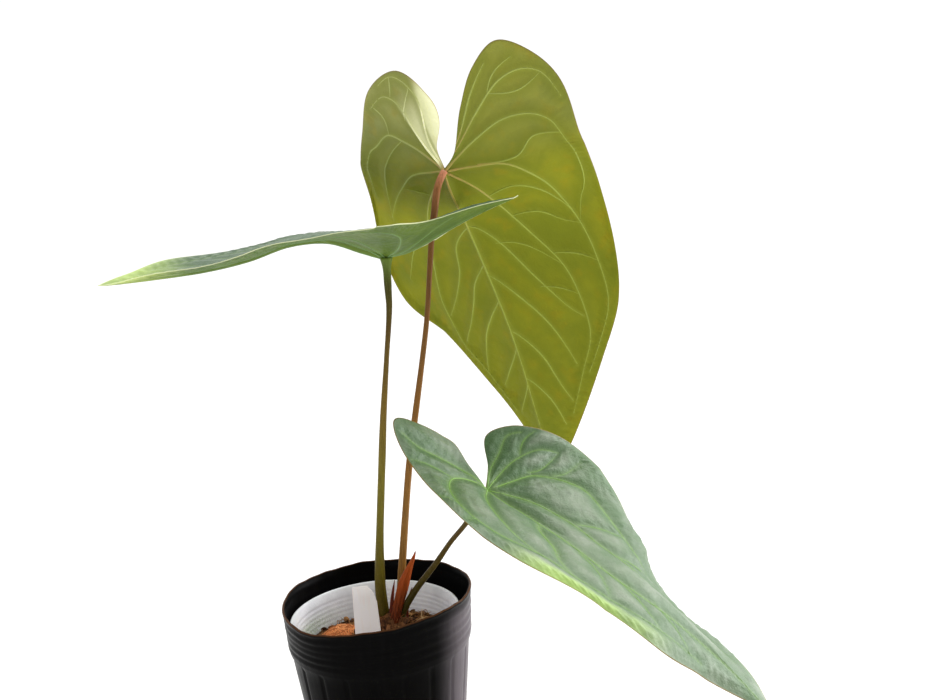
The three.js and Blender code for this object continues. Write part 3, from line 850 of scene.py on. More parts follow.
@dataclass
class Blade:
    """A heart-shaped blade: a flat outline laid over a bent rib and folded along it."""

    name: str
    node: str
    slot: str
    axis: tuple[Point, ...]
    normal: Point
    fold_at: tuple[float, ...]
    left: Half
    right: Half
    upper: LeafFinish
    lower: LeafFinish
    # Where painted light comes through the blade.
    glow: Tint
    cord_tone: Color
    cord_root: Color
    cord_far: Color
    midrib: tuple[tuple[float, float], ...] = ()
    cord_width: float = 0.55
    lumps: float = 0.15
    thickness: float = 0.7
    quilt: float = 1.5
    quilt_reach: float = 7.0
    rib_depth: float = 1.3
    row_detail: int = 7
    columns: int = 64
    rib_pitch: float = 6.0
    rib_height: float = 0.28
    wave: float = 0.6
    waves: float = 5.0

    def __post_init__(self) -> None:
        """Lays out the rib and its frame."""
        points = np.array(self.axis, float)
        run = lengths(points)
        self.rib = Track(run - run[1], points)
        self.length = float(run[-1] - run[1])
        self.folds = {-1: Track(self.fold_at, self.left.fold), 1: Track(self.fold_at, self.right.fold)}

    def half(self, side: int) -> Half:
        """Returns the left half for -1 and the right half for 1."""
        return self.right if side > 0 else self.left

    def place(self, s: np.ndarray, t: np.ndarray, side: int, lift: np.ndarray) -> np.ndarray:
        """Returns points of the bent sheet.

        Args:
            s: distance along the rib from the stalk.
            t: distance across, at least 0.
            side: -1 for the left half and 1 for the right.
            lift: distance off the sheet towards the upper face.

        Returns:
            The points, in the shape of s with one more axis.
        """
        shape = s.shape
        s, t, lift = s.ravel(), t.ravel(), lift.ravel()
        step = 1e-3
        tangent = unit(self.rib.at(s + step) - self.rib.at(s - step))
        reference = np.array(self.normal, float)
        up = unit(reference - (tangent @ reference)[:, None] * tangent)
        out = np.cross(tangent, up) * side
        held = np.clip(s, self.fold_at[0], self.fold_at[-1])
        fold = np.radians(self.folds[side].at(held)[:, 0])
        soft = fold * np.minimum(1, t / 6)
        points = (
            self.rib.at(s)
            + out * (t * np.cos(fold) - lift * np.sin(soft))[:, None]
            + up * (t * np.sin(fold) + lift * np.cos(soft))[:, None]
        )
        return points.reshape(*shape, 3)

    def margin(self, half: Half, share: np.ndarray) -> tuple[np.ndarray, float]:
        """Finds points of the margin.

        Args:
            half: the half blade.
            share: shares of the margin's length, from the notch.

        Returns:
            The points along and across, and the margin's length.
        """
        points = np.array([NOTCH, *half.outline, (self.length, 0)], float)
        track = Track(lengths(points, 0.5), points)
        fine = track.at(np.linspace(0, track.knots[-1], MARGIN_SAMPLES))
        run = lengths(fine)
        goal = np.clip(share, 0, 1) * run[-1]
        return np.stack([np.interp(goal, run, fine[:, c]) for c in (0, 1)], -1), float(run[-1])

    def vein_marks(self, s: np.ndarray, t: np.ndarray, side: int) -> tuple[np.ndarray, ...]:
        """Measures how near places are to the veins.

        Args:
            s: distances along the rib.
            t: distances across.
            side: -1 for the left half and 1 for the right.

        Returns:
            The vein mark from 0 to 1, the distance to the nearest vein and the distance to the rib.
        """
        middle = self.midrib or ((0, 0), (0.5 * self.length, 0), (self.length, 0))
        mark = np.zeros(s.shape)
        near = np.full(s.shape, 99.0)
        for vein in (Vein(middle, 1.0, MIDRIB_FOOT), *self.half(side).veins):
            points = np.array(vein.points, float)
            if vein.points is middle:
                points = points * (1, side)
            track = Track(lengths(points, 0.5), points)
            fine = track.at(np.linspace(0, track.knots[-1], VEIN_SAMPLES))
            share = lengths(fine) / lengths(fine)[-1]
            across = np.hypot(s[..., None] - fine[:, 0], t[..., None] - fine[:, 1])
            nearest = across.argmin(-1)
            distance = np.take_along_axis(across, nearest[..., None], -1)[..., 0]
            width = HALO_SPREAD * vein.width * (1.1 - 0.6 * share[nearest])
            mark = np.maximum(mark, HALO_TONE * vein.strength * np.exp(-((distance / width) ** 2)))
            if vein.points is middle:
                rib = distance
            near = np.minimum(near, distance + 3.0 * (1 - vein.strength))
        return mark, near, rib

    def net(self, half: Half) -> Net:
        """Lays out the flat grid of one half, with rows that follow the veins.

        Args:
            half: the half blade.

        Returns:
            The flat grid.
        """
        rows = []
        for k, count in enumerate(ROWS_BETWEEN):
            fine = count * self.row_detail
            rows.extend(k + j / fine for j in range(fine))
        w = np.array([*rows, len(ROWS_BETWEEN)], float)
        leads = Track(range(len(VEIN_ROWS)), VEIN_ROWS).at(w)
        share, start = np.clip(leads[:, :2], 0, 1).T
        leave = np.radians(leads[:, 2])
        end, margin_length = self.margin(half, share)
        begin = np.stack([start * self.length, np.zeros_like(start)], -1)
        reach = ROW_BOW * np.hypot(*(end - begin).T)
        bow = begin + reach[:, None] * np.stack([np.cos(leave), np.sin(leave)], -1)
        v = (np.arange(self.columns + 1) / self.columns) ** ROW_EASE
        flat = (
            begin[:, None] * ((1 - v) ** 2)[None, :, None]
            + bow[:, None] * (2 * v * (1 - v))[None, :, None]
            + end[:, None] * (v * v)[None, :, None]
        )
        s, t = flat[..., 0], np.maximum(0, flat[..., 1])
        t[0] = 0
        inward = np.hypot(s - end[:, None, 0], t - end[:, None, 1])
        wide = np.clip(reach / ROW_BOW / WIDE_ROW, 0, 1)[:, None]
        return Net(w, v, s, t, inward, share, share * margin_length, wide)

    def relief(self, net: Net, near: np.ndarray, rib: np.ndarray, side: int) -> np.ndarray:
        """Works out the quilting, the margin ribs, the waves and the small lumps.

        Args:
            net: the flat grid of the half.
            near: distances to the nearest vein.
            rib: distances to the rib.
            side: -1 for the left half and 1 for the right.

        Returns:
            How far each place is lifted towards the upper face.
        """
        s, t, w, inward = net.s, net.t, net.w, net.inward
        quilt = (1 - np.exp(-((near / self.quilt_reach) ** QUILT_SHARPNESS))) * net.wide
        quilt = quilt * smoothstep(inward, 0, 9) * smoothstep(w, 0, 1.2)[:, None]
        centre = 1 - np.exp(-((rib / self.quilt_reach) ** QUILT_SHARPNESS))
        centre = centre * (1 - smoothstep(s, self.length - 60, self.length))
        beside = smoothstep(t, 0, 10)
        quilt = self.quilt * (centre * (1 - beside) + quilt * beside)
        ribs = np.sin(2 * math.pi * net.along / self.rib_pitch + 1.3 * np.sin(0.11 * net.along))[:, None]
        rise, top, fall, end = RIB_BAND
        band = smoothstep(inward, rise, top) * (1 - smoothstep(inward, fall, end))
        band = band * smoothstep(w, 0.5, 1.5)[:, None]
        ribs = self.rib_height * ribs * band * net.wide
        fade = (smoothstep(w, 0, 1.5) * (1 - smoothstep(w, 11, 13)))[:, None]
        swing = np.sin(2 * math.pi * self.waves * net.share + side)[:, None]
        wave = self.wave * fade * net.v[None] ** 3 * swing
        lumps = np.sin(0.55 * s + 1.7 * np.sin(0.21 * t)) * np.sin(0.62 * t + 1.9 * np.sin(0.17 * s + side))
        lumps = self.lumps * lumps * np.clip(near / 5, 0, 1)
        lumps = lumps * smoothstep(inward, 1, 6) * smoothstep(t, 0, 6)
        return quilt + ribs + wave + lumps

    def grid(self, side: int) -> dict[str, np.ndarray]:
        """Bends one half into shape, with its two faces.

        Args:
            side: -1 for the left half and 1 for the right.

        Returns:
            The arrays by name: places, upper and lower points and the marks.
        """
        net = self.net(self.half(side))
        s, t, inward = net.s, net.t, net.inward
        mark, near, rib = self.vein_marks(s, t, side)
        lift = self.relief(net, near, rib, side)
        keel = np.sqrt(np.clip(1 - (t / KEEL_HALF_WIDTH) ** 2, 0, 1))
        keel = keel * (1 - np.clip(s / self.length, 0, 1)) ** 0.7
        keel = np.where(s < -0.5, 0, keel)
        thin = self.thickness * (1 - 0.55 * smoothstep(1 - np.clip(inward / 4, 0, 1), 0, 1))
        sunk = mark * smoothstep(inward, 0, 3)
        over = lift + thin / 2 - 0.5 * sunk
        under = lift - thin / 2 - 0.6 * sunk - self.rib_depth * keel
        return {
            "s": s,
            "t": t,
            "over": over,
            "under": under,
            "upper": self.place(s, t, side, over),
            "lower": self.place(s, t, side, under),
            "vein": mark,
            # Painted shade, strongest just beside the veins.
            "deep": np.exp(-(((near - VALLEY_SHADE_BEGINS) / VALLEY_SHADE_REACH) ** 2)),
            "edge": inward,
            "glow": np.clip(self.glow(s, t, inward, side), 0, 1),
        }

    def cord(self, tubes: Tubes, made: dict, vein: Vein, side: int, face: str) -> None:
        """Lays one vein along a face as a slender cord, half sunk in it.

        Args:
            tubes: the cords made so far.
            made: the arrays of the half that carries the vein.
            vein: the vein.
            side: -1 for the left half and 1 for the right.
            face: "over" or "under".
        """
        points = np.array(vein.points, float)
        track = Track(lengths(points, 0.5), points)
        fine = track.at(np.linspace(0, track.knots[-1], CORD_SAMPLES))
        grid_s, grid_t = made["s"].ravel(), made["t"].ravel()
        away = np.hypot(grid_s[None] - fine[:, :1], grid_t[None] - np.abs(fine[:, 1:]))
        nearest = away.argmin(1)
        inside = (away.min(1) < CORD_STRAY) & (fine[:, 1] > -0.5)
        inside = inside & (made["edge"].ravel()[nearest] > CORD_FROM_EDGE)
        breaks = np.flatnonzero(np.diff(np.concatenate([[False], inside, [False]]).astype(int)))
        runs = breaks.reshape(-1, 2)
        first, stop = max(runs, key=lambda run: run[1] - run[0], default=(0, 0))
        if stop - first < CORD_SHORTEST:
            return
        fine, nearest = fine[first:stop], nearest[first:stop]
        t = np.maximum(0, fine[:, 1])
        lift = made[face].ravel()[nearest]
        lift = np.convolve(np.pad(lift, 3, "edge"), np.ones(7) / 7, "valid")
        width = self.cord_width * (0.45 + 0.55 * vein.strength) * (0.8 if face == "over" else 1)
        lift = lift + CORD_SUNK[face] * width
        path = self.place(fine[:, 0], t, side, lift)
        from_stalk = np.hypot(*fine[0])
        begin = 0.45 if from_stalk > BRANCH_FROM else 1.1
        grown = float(from_stalk > ROOT_TONE_WITHIN)
        # The upright blade's veins take the painted light coming through the blade there.
        lit = made["glow"].ravel()[nearest] * (self.name == "leaf_blade_upright")
        widths = [(0, begin * width), (0.3, 0.8 * width), (1, 0.3 * width)]
        tubes.add(path, widths, CORD_SIDES, CORD_STEPS, 1, grown, lit=lit)

    def cords(self, halves: dict[int, dict]) -> Piece:
        """Makes the veins of both faces as cords.

        Args:
            halves: the arrays of each half, by side.

        Returns:
            The cords as one piece.
        """
        tubes = Tubes()
        for side in (-1, 1):
            for vein in self.half(side).veins:
                for face in ("over", "under"):
                    self.cord(tubes, halves[side], vein, side, face)
        middle = np.array(self.midrib or ((0, 0), (0.5 * self.length, 0), (0.94 * self.length, 0)), float)
        side = 1 if middle[:, 1].sum() >= 0 else -1
        spine = Vein(tuple((s, max(0.0, t * side)) for s, t in middle), 1.0)
        for face in ("over", "under"):
            self.cord(tubes, halves[side], spine, side, face)
        piece = tubes.piece(f"{self.name}_veins")
        finish = CordFinish(f"{self.name}_cord", self.cord_tone, self.cord_root, self.cord_far)
        dress(piece, self.slot, [], finish.material())
        return piece

    def build(self) -> Piece:
        """Builds the blade, and its veins as a piece of their own.

        Returns:
            The blade.
        """
        points, marks, faces, kinds = [], {"vein": [], "deep": [], "edge": [], "glow": []}, [], []
        base = 0
        halves = {side: self.grid(side) for side in (-1, 1)}
        self.cords(halves)
        for side in (-1, 1):
            made = halves[side]
            rows, columns = made["vein"].shape
            number = np.arange(rows * columns).reshape(rows, columns)
            for layer, face in enumerate(("upper", "lower")):
                offset = base + layer * rows * columns
                a = number[:-1, :-1] + offset
                b = number[1:, :-1] + offset
                c = number[1:, 1:] + offset
                d = number[:-1, 1:] + offset
                flip = (face == "upper") == (side > 0)
                order = (a, d, c, b) if flip else (a, b, c, d)
                quads = np.stack(order, -1).reshape(-1, 4)
                faces.append(quads)
                kinds.append(np.full(len(quads), layer))
                points.append(made[face].reshape(-1, 3))
                for key in marks:
                    marks[key].append(made[key].ravel())
            p, q = number[:-1, -1] + base, number[1:, -1] + base
            low = rows * columns
            order = (p, p + low, q + low, q) if side > 0 else (p, q, q + low, p + low)
            strip = np.stack(order, -1)
            faces.append(strip)
            kinds.append(np.full(len(strip), 1))
            base += 2 * rows * columns
        values = {key: np.concatenate(rows) for key, rows in marks.items()}
        quads = np.concatenate(faces)
        piece = mesh_piece(self.name, np.concatenate(points), quads, values)
        piece.data.materials.append(self.upper.material())
        piece.data.materials.append(self.lower.material())
        piece.data.polygons.foreach_set("material_index", np.concatenate(kinds).astype(np.int32))
        with editing(piece):
            bpy.ops.mesh.remove_doubles(threshold=MERGE)
            bpy.ops.mesh.dissolve_degenerate(threshold=1e-7)
        dress(piece, self.slot, [self.node])
        return piece


# Tints where light comes through: each takes the places along and across, the distance in from the margin
# and the side, and gives a share from 0 to 1.


def upright_glow(s: np.ndarray, t: np.ndarray, _inward: np.ndarray, side: int) -> np.ndarray:
    """Paints light coming through at the notch of the upright blade's left lobe, with a fainter painted
    haze on both lobes near the stalk end.

    Args:
        s: distances along the rib.
        t: distances across.
        _inward: not needed here.
        side: -1 for the left half and 1 for the right.

    Returns:
        The tint from 0 to 1.
    """
    # Painted haze of light coming through, fading out along the rib.
    painted_haze = (0.14 if side < 0 else 0.05) * (1 - smoothstep(s, -45, 30))
    if side > 0:
        return painted_haze
    angle = np.degrees(np.arctan2(t, -s))
    reach = np.hypot(s, t)
    strip = (1 - smoothstep(angle, 15, 21)) * (1 - smoothstep(reach, 46, 66))
    panel = (1 - smoothstep(angle, 35, 38)) * (0.4 + 0.4 * smoothstep(angle, 18, 35))
    panel = panel * (1 - smoothstep(reach, 26, 60))
    return painted_haze + np.maximum(strip * 0.9, panel) * smoothstep(-s, 2, 12)


def level_glow(s: np.ndarray, _t: np.ndarray, _inward: np.ndarray, _side: int) -> np.ndarray:
    """Returns the share of painted glow at the level blade's tip, where it turns yellow-green and shines.
    """
    return smoothstep(s, 112, 150)


def low_glow(s: np.ndarray, _t: np.ndarray, inward: np.ndarray, side: int) -> np.ndarray:
    """Tints the low blade's near margin, where light comes through.

    Args:
        s: distances along the rib.
        _t: not needed here.
        inward: distances in from the margin.
        side: -1 for the left half and 1 for the right.

    Returns:
        The tint from 0 to 1.
    """
    if side < 0:
        return np.zeros_like(s)
    span = smoothstep(s, 38, 70) * (1 - smoothstep(s, 88, 132))
    return span * (1 - smoothstep(inward, 5, 24)) * 0.8


def vein(points: Sequence[tuple[float, float]], strength: float = 1.0, width: float = 1.15) -> Vein:
    """Returns a vein through points along and across."""
    return Vein(tuple(points), strength, width)


UNDER_OLIVE = LeafFinish(
    "leaf_under_olive", (0.285, 0.29, 0.016), (0.2, 0.225, 0.014), (0.38, 0.43, 0.07), (0.9, 0.89, 0.56),
    (0.26, 0.18, 0.04), (0.38, 0.27, 0.008), 0.5, 0.06, through=0.45, valley_shading=0.6,
)
UPPER_GREEN = LeafFinish(
    "leaf_upper_green", (0.07, 0.17, 0.05), (0.035, 0.1, 0.03), (0.25, 0.42, 0.1), (0.42, 0.6, 0.06),
    (0.2, 0.26, 0.06), (0.1, 0.2, 0.05), 0.36, 0.5, 0.3,
)
LOW_UPPER = LeafFinish(
    "leaf_low_upper", (0.28, 0.33, 0.24), (0.085, 0.17, 0.06), (0.34, 0.52, 0.14), (0.42, 0.62, 0.14),
    (0.3, 0.2, 0.05), (0.12, 0.17, 0.1), 0.45, 0.38, 0.15, bump=0.0008, valley_shading=0.9,
)
LEVEL_UNDER = LeafFinish(
    "leaf_level_under", (0.13, 0.2, 0.02), (0.065, 0.12, 0.012), (0.28, 0.38, 0.09), (0.42, 0.52, 0.1),
    (0.78, 0.82, 0.5), (0.18, 0.26, 0.04), 0.5, 0.15, edge_width=1.5, valley_shading=0.6,
)
LEVEL_UPPER = LeafFinish(
    "leaf_level_upper", (0.09, 0.17, 0.075), (0.05, 0.12, 0.04), (0.42, 0.55, 0.22), (0.45, 0.6, 0.14),
    (0.78, 0.82, 0.55), (0.13, 0.22, 0.1), 0.4, 0.35, 0.1, edge_width=1.5,
)

UPRIGHT_RIGHT_VEINS = (
    vein([(0, 0), (-22, 12), (-48, 21), (-63, 29)]),
    vein([(0, 0), (-19, 13), (-35, 23), (-53, 37), (-59, 50), (-57, 62), (-42, 74)]),
    vein([(0, 0), (-19, 22), (-30, 39), (-32, 56), (-26, 67), (-13, 73), (14, 79)]),
    vein([(0, 0), (1, 18), (5, 36), (21, 49), (46, 60), (77, 68), (103, 70), (130, 68), (155, 55),
          (175, 43)]),
    vein([(0, 0), (18, 14), (42, 24), (69, 35), (100, 48), (121, 51), (149, 50), (173, 39), (204, 25)]),
    vein([(48, 0), (59, 9), (70, 15), (103, 29), (127, 42), (135, 49)]),
    vein([(88, 0), (109, 13), (134, 26), (167, 36)]),
    vein([(130, 0), (153, 14), (180, 22), (194, 27)]),
    vein([(168, 0), (188, 12), (212, 18)], 0.8),
    vein([(0, 20), (1, 44), (-15, 56), (-15, 72)], 0.7, 1),
    vein([(31, 19), (29, 38), (53, 60), (77, 68)], 0.7, 1),
    vein([(53, 29), (57, 45), (70, 58), (77, 68)], 0.55, 1),
    vein([(90, 45), (96, 59), (105, 70)], 0.5, 1),
    vein([(-13, 73), (14, 79), (44, 79), (57, 74), (77, 68)], 0.45, 1),
    vein([(-45, 30), (-57, 34), (-66, 45)], 0.5, 0.9),
    vein([(-46, 31), (-47, 48), (-57, 62)], 0.5, 0.9),
    vein([(108, 29), (113, 40), (121, 51)], 0.4, 0.9),
    vein([(69, 12), (75, 26), (100, 48)], 0.35, 0.9),
)
UPRIGHT_LEFT_VEINS = (
    vein([(0, 0), (-19, 8), (-43, 13.3), (-51, 20), (-56, 27.5), (-57.5, 35), (-53, 44)]),
    vein([(0, 0), (-28.4, 20), (-39, 26.7), (-45, 35), (-46, 42), (-39, 52)]),
    vein([(0, 0), (-12, 15), (-18, 27), (-22, 40), (-13, 51), (-8, 57), (37, 69)]),
    vein([(0, 0), (2, 10), (8, 26), (26, 42), (50, 63)]),
    vein([(0, 0), (20, 15), (46, 31), (76, 43), (103, 51), (125, 50), (143, 47), (165, 33), (198, 17)]),
    vein([(50, 0), (66, 17), (85, 24), (117, 49)]),
    vein([(80, 0), (94, 15), (106, 22), (141, 43)]),
    vein([(107, 0), (131, 21), (165, 32)]),
    vein([(144, 0), (176, 21)], 0.85),
    vein([(173, 0), (198, 13)], 0.7),
    vein([(58, 38), (66, 53), (87, 72)], 0.55, 1),
    vein([(26, 19), (26, 29), (26, 42)], 0.4, 0.9),
    vein([(-19, 29), (-10, 39), (1, 46), (50, 63)], 0.4, 0.9),
    vein([(-39.6, 50), (-32.7, 41.8), (-21.6, 39.3)], 0.45, 0.9),
    vein([(-57, 35.2), (-52, 35), (-46, 35.2)], 0.5, 0.9),
    vein([(-50.7, 20.5), (-45, 23), (-39, 25), (-32, 25)], 0.4, 0.9),
)
LEVEL_VEINS = (
    vein([(0, 0), (-22, 14), (-46, 24), (-62, 30)]),
    vein([(0, 0), (-22, 24), (-38, 36), (-48, 42)]),
    vein([(0, 0), (-8, 26), (-8, 44), (6, 58), (30, 62)]),
    vein([(0, 0), (14, 20), (38, 40), (62, 50), (84, 44), (112, 34)]),
    vein([(0, 0), (28, 14), (60, 28), (90, 34), (116, 28), (140, 18)]),
    vein([(34, 0), (56, 14), (78, 26)]),
    vein([(62, 0), (84, 14), (104, 25)]),
    vein([(92, 0), (110, 12), (128, 19)], 0.8),
    vein([(120, 0), (136, 8), (148, 10)], 0.6),
)
LOW_RIGHT_VEINS = (
    vein([(0, 0), (-8, 9), (-10, 24), (-1, 39), (12, 49), (24, 53), (37, 50), (56, 40), (74, 39), (93, 36),
          (120, 30), (150, 18)]),
    vein([(0, 0), (-15, 8), (-25, 22), (-32, 35), (-41, 43)]),
    vein([(-10, 24), (-20, 36), (-24, 47)], 0.7, 0.9),
    vein([(0, 0), (8, 13), (28, 31), (43, 38), (56, 40)]),
    vein([(38, 2), (42, 10), (56, 22), (64, 33), (74, 39)]),
    vein([(66, 10), (82, 20), (92, 34)], 0.6, 0.9),
    vein([(90, 12), (106, 20), (118, 30)], 0.6, 0.9),
    vein([(112, 9), (128, 16), (140, 23)], 0.5, 0.9),
    vein([(12, 49), (5, 57), (3, 62)], 0.5, 0.9),
    vein([(24, 53), (24, 62)], 0.5, 0.9),
)
LOW_LEFT_VEINS = (
    vein([(0, 0), (21, 11), (36, 14), (53, 15), (72, 12), (95, 12), (130, 14), (160, 12)], 0.9),
    vein([(0, 0), (9, 29), (14, 34), (28, 43), (43, 48), (70, 40), (100, 30), (140, 24)]),
    vein([(0, 0), (-4, 10), (-10, 29), (-8, 45), (7, 57)]),
    vein([(0, 0), (-12, 11), (-19, 20), (-29, 30), (-28, 39)]),
    vein([(-12, 32), (-21, 38), (-25, 47)], 0.8, 1),
    vein([(6, 30), (10, 38), (8, 56)], 0.8, 1),
    vein([(20, 40), (24, 48), (25, 64)], 0.7, 1),
    vein([(52, 16), (64, 26), (78, 36)], 0.6, 0.9),
    vein([(82, 12), (98, 20), (112, 28)], 0.6, 0.9),
    vein([(110, 12), (126, 20), (140, 24)], 0.5, 0.9),
)


def blades() -> list[Blade]:
    """Lists the blades, in the CAD part's own sizes.

    Returns:
        The upright, the level and the low blade.
    """
    upright = Blade(
        "leaf_blade_upright", "blade_upright", "leaf_under",
        ((62.5, 8, 420), (64, 20, 361), (76.4, 52.5, 323.5), (100.6, 76, 247.4), (117, 98, 175),
         (126.3, 115.5, 135.4)),
        (0.4, 0.88, 0.26),
        (-82, 0, 62, 124, 185, 242),
        Half(
            (15, 14, 15, 16, 16, 16),
            ((-14, 4), (-33, 0), (-48, 8), (-61, 30), (-50, 53), (-21, 62), (39, 76), (71, 87), (103, 85),
             (131, 65), (170, 38), (197, 23)),
            UPRIGHT_LEFT_VEINS,
        ),
        Half(
            (22, 24, 23, 22, 21, 19),
            ((-10, 7), (-39, 14), (-61, 22), (-75, 36), (-69, 56), (-52, 74), (-11, 84), (63, 87),
             (103, 83), (131, 75), (164, 56), (209, 30)),
            UPRIGHT_RIGHT_VEINS,
        ),
        UPPER_GREEN, UNDER_OLIVE, upright_glow, (0.36, 0.42, 0.05), (0.6, 0.3, 0.09), (0.33, 0.36, 0.012),
        quilt=2.4, cord_width=0.7,
    )
    level = Blade(
        "leaf_blade_level", "blade_level", "leaf_level",
        ((87, 4, 334), (25, 0, 314), (12, -1, 318.6), (-8, -4, 326.3), (-30, -7, 326.2), (-55, -10, 319.4),
         (-80, -14, 315.4), (-108, -20, 313.6), (-140, -25, 312.5)),
        (0, 0.026, 1),
        (-80, -36, 0, 45, 90, 135, 170),
        Half(
            (1, 20, 17, 4, 6, 7, 3),
            ((-13, 7), (-38, 16), (-63, 24), (-82, 32), (-75, 47), (-36, 53), (6, 73), (41, 71), (76, 57),
             (112, 45), (140, 31), (159, 15)),
            LEVEL_VEINS,
        ),
        Half(
            (14, 16, 12.5, 1, 7, 13, 17),
            ((-13, 7), (-38, 14), (-57, 20), (-64, 27), (-57, 34), (-45, 40), (-25, 54), (6, 70), (41, 70),
             (76, 59), (111, 43), (140, 32), (157, 15)),
            LEVEL_VEINS,
        ),
        LEVEL_UPPER, LEVEL_UNDER, level_glow, (0.14, 0.26, 0.08), (0.2, 0.34, 0.1), (0.1, 0.2, 0.07),
        quilt=1.0, cord_width=0.4,
    )
    low = Blade(
        "leaf_blade_low", "blade_low", "leaf_upper",
        ((54, -21, 215), (74, -50, 180), (99, -69, 166), (146, -95, 140), (191, -109, 95), (214, -124, 68)),
        (0, 0.03, 1),
        (-45, 10, 60, 110, 160, 200),
        Half(
            (16, 15, 5, -10, -13, -13),
            ((-14, 10), (-34, 18), (-35, 35), (-25, 51), (-6, 64), (18, 73), (51, 69), (86, 53), (122, 44),
             (154, 28), (182, 17)),
            LOW_LEFT_VEINS,
        ),
        Half(
            (23, 17, 7, -3, -12, -19),
            ((-18, 2), (-36, 5), (-48, 27), (-49, 45), (-13, 51), (25, 66), (51, 61), (88, 49), (122, 47),
             (154, 24), (181, 8)),
            LOW_RIGHT_VEINS,
        ),
        LOW_UPPER, UNDER_OLIVE, low_glow, (0.22, 0.42, 0.09), (0.36, 0.6, 0.16), (0.12, 0.22, 0.08),
        midrib=((0, 0), (25, 0), (50, 3), (83, 12), (102, 12), (126, 8), (155, 2), (190, 0)),
        quilt=2.3, quilt_reach=5.5, rib_height=0.2, rib_pitch=4.6, wave=0.4, cord_width=0.5, lumps=0.3,
    )
    return [upright, level, low]


# Stalks and sheaths


@dataclass
class Stalk:
    """A stalk: a clasping foot, a slender stem and a swollen knee under the blade."""

    name: str
    node: str
    slot: str
    path: tuple[Point, ...]
    radii: tuple[tuple[float, float], ...]
    finish: StalkFinish
    groove: float = 0.05

    def build(self) -> Piece:
        """Builds the stalk.

        Returns:
            The piece.
        """
        tubes = Tubes()
        depth = self.groove

        def rough(share: np.ndarray, angle: np.ndarray) -> np.ndarray:
            """Adds a shallow groove and slow unevenness.

            Args:
                share: place along the stalk, from 0 to 1.
                angle: angle round it.

            Returns:
                Factor on the radius.
            """
            channel = depth * np.exp(-(((np.cos(angle - 1.2) - 1) / 0.25) ** 2))
            channel = channel * smoothstep(share, 0.05, 0.2)
            return 1 - channel + 0.012 * np.sin(3 * angle + 14 * share) + 0.012 * np.sin(41 * share)

        tubes.add(self.path, self.radii, sides=24, steps=170, rough=rough)
        piece = tubes.piece(self.name)
        dress(piece, self.slot, [self.node], self.finish.material())
        return piece


def stalks() -> list[Stalk]:
    """Lists the stalks, in the CAD part's own sizes.

    Returns:
        The upright, the level and the low stalk.
    """
    brown = StalkFinish("stalk_brown", (
        (0.0, (0.21, 0.11, 0.025)), (0.12, (0.3, 0.145, 0.03)), (0.4, (0.27, 0.12, 0.025)),
        (0.72, (0.17, 0.075, 0.018)), (0.9, (0.19, 0.08, 0.022)), (0.96, (0.42, 0.17, 0.06)),
        (1.0, (0.8, 0.32, 0.18)),
    ))
    olive = StalkFinish("stalk_olive", (
        (0.0, (0.08, 0.055, 0.003)), (0.15, (0.13, 0.1, 0.006)), (0.4, (0.2, 0.165, 0.018)),
        (0.6, (0.2, 0.125, 0.02)), (0.82, (0.1, 0.06, 0.01)), (0.93, (0.06, 0.06, 0.005)),
        (1.0, (0.13, 0.2, 0.03)),
    ))
    dark = StalkFinish("stalk_dark", (
        (0.0, (0.045, 0.035, 0.005)), (0.3, (0.075, 0.055, 0.008)), (0.7, (0.085, 0.05, 0.01)),
        (1.0, (0.12, 0.1, 0.02)),
    ))
    return [
        Stalk(
            "leaf_stalk_upright", "petiole_upright", "stalk_brown",
            ((12.6, 4.5, 84), (14, 4.2, 94), (16.4, 3.6, 112.4), (18.9, 3.2, 129.6), (27.3, 2.4, 183.4),
             (33, 2, 211.1), (41.2, 1, 249.8), (46, 0.2, 274.5), (50.4, 1.6, 305.5), (53.2, 5.4, 324.7),
             (55.8, 9.6, 338.1), (57.8, 12.8, 348.6), (60, 15, 355), (63.5, 18.2, 361)),
            ((0, 3), (0.08, 2.7), (0.16, 2.4), (0.4, 2.1), (0.85, 1.8), (0.93, 2.2), (1, 2.1)),
            brown, 0.16,
        ),
        Stalk(
            "leaf_stalk_level", "petiole_level", "stalk_olive",
            ((3, 0, 80), (3, 0, 88), (2.6, 0, 105.5), (3.4, 0, 119.4), (5, 0, 137.7), (11.9, 0, 195.5),
             (14.6, 0, 217.4), (19.5, 0, 251.4), (24, 0, 283), (24.4, 0, 295), (25, 0, 313.4)),
            ((0, 3.7), (0.1, 3.6), (0.24, 2.6), (0.5, 2.3), (0.86, 1.8), (0.93, 2.3), (0.98, 2.8), (1, 4)),
            olive,
        ),
        Stalk(
            "leaf_stalk_low", "petiole_low", "stalk_dark",
            ((13.4, -2.2, 80), (14.6, -2.4, 88), (19, -4.4, 96.5), (26, -8, 107.4), (39.5, -16, 125.8),
             (50.1, -25, 142.2), (59.5, -34, 155.3), (67, -42, 168), (73.5, -48.8, 178.1)),
            ((0, 2.5), (0.14, 2.25), (0.3, 2), (0.85, 1.8), (0.93, 2.1), (1, 2)),
            dark,
        ),
    ]


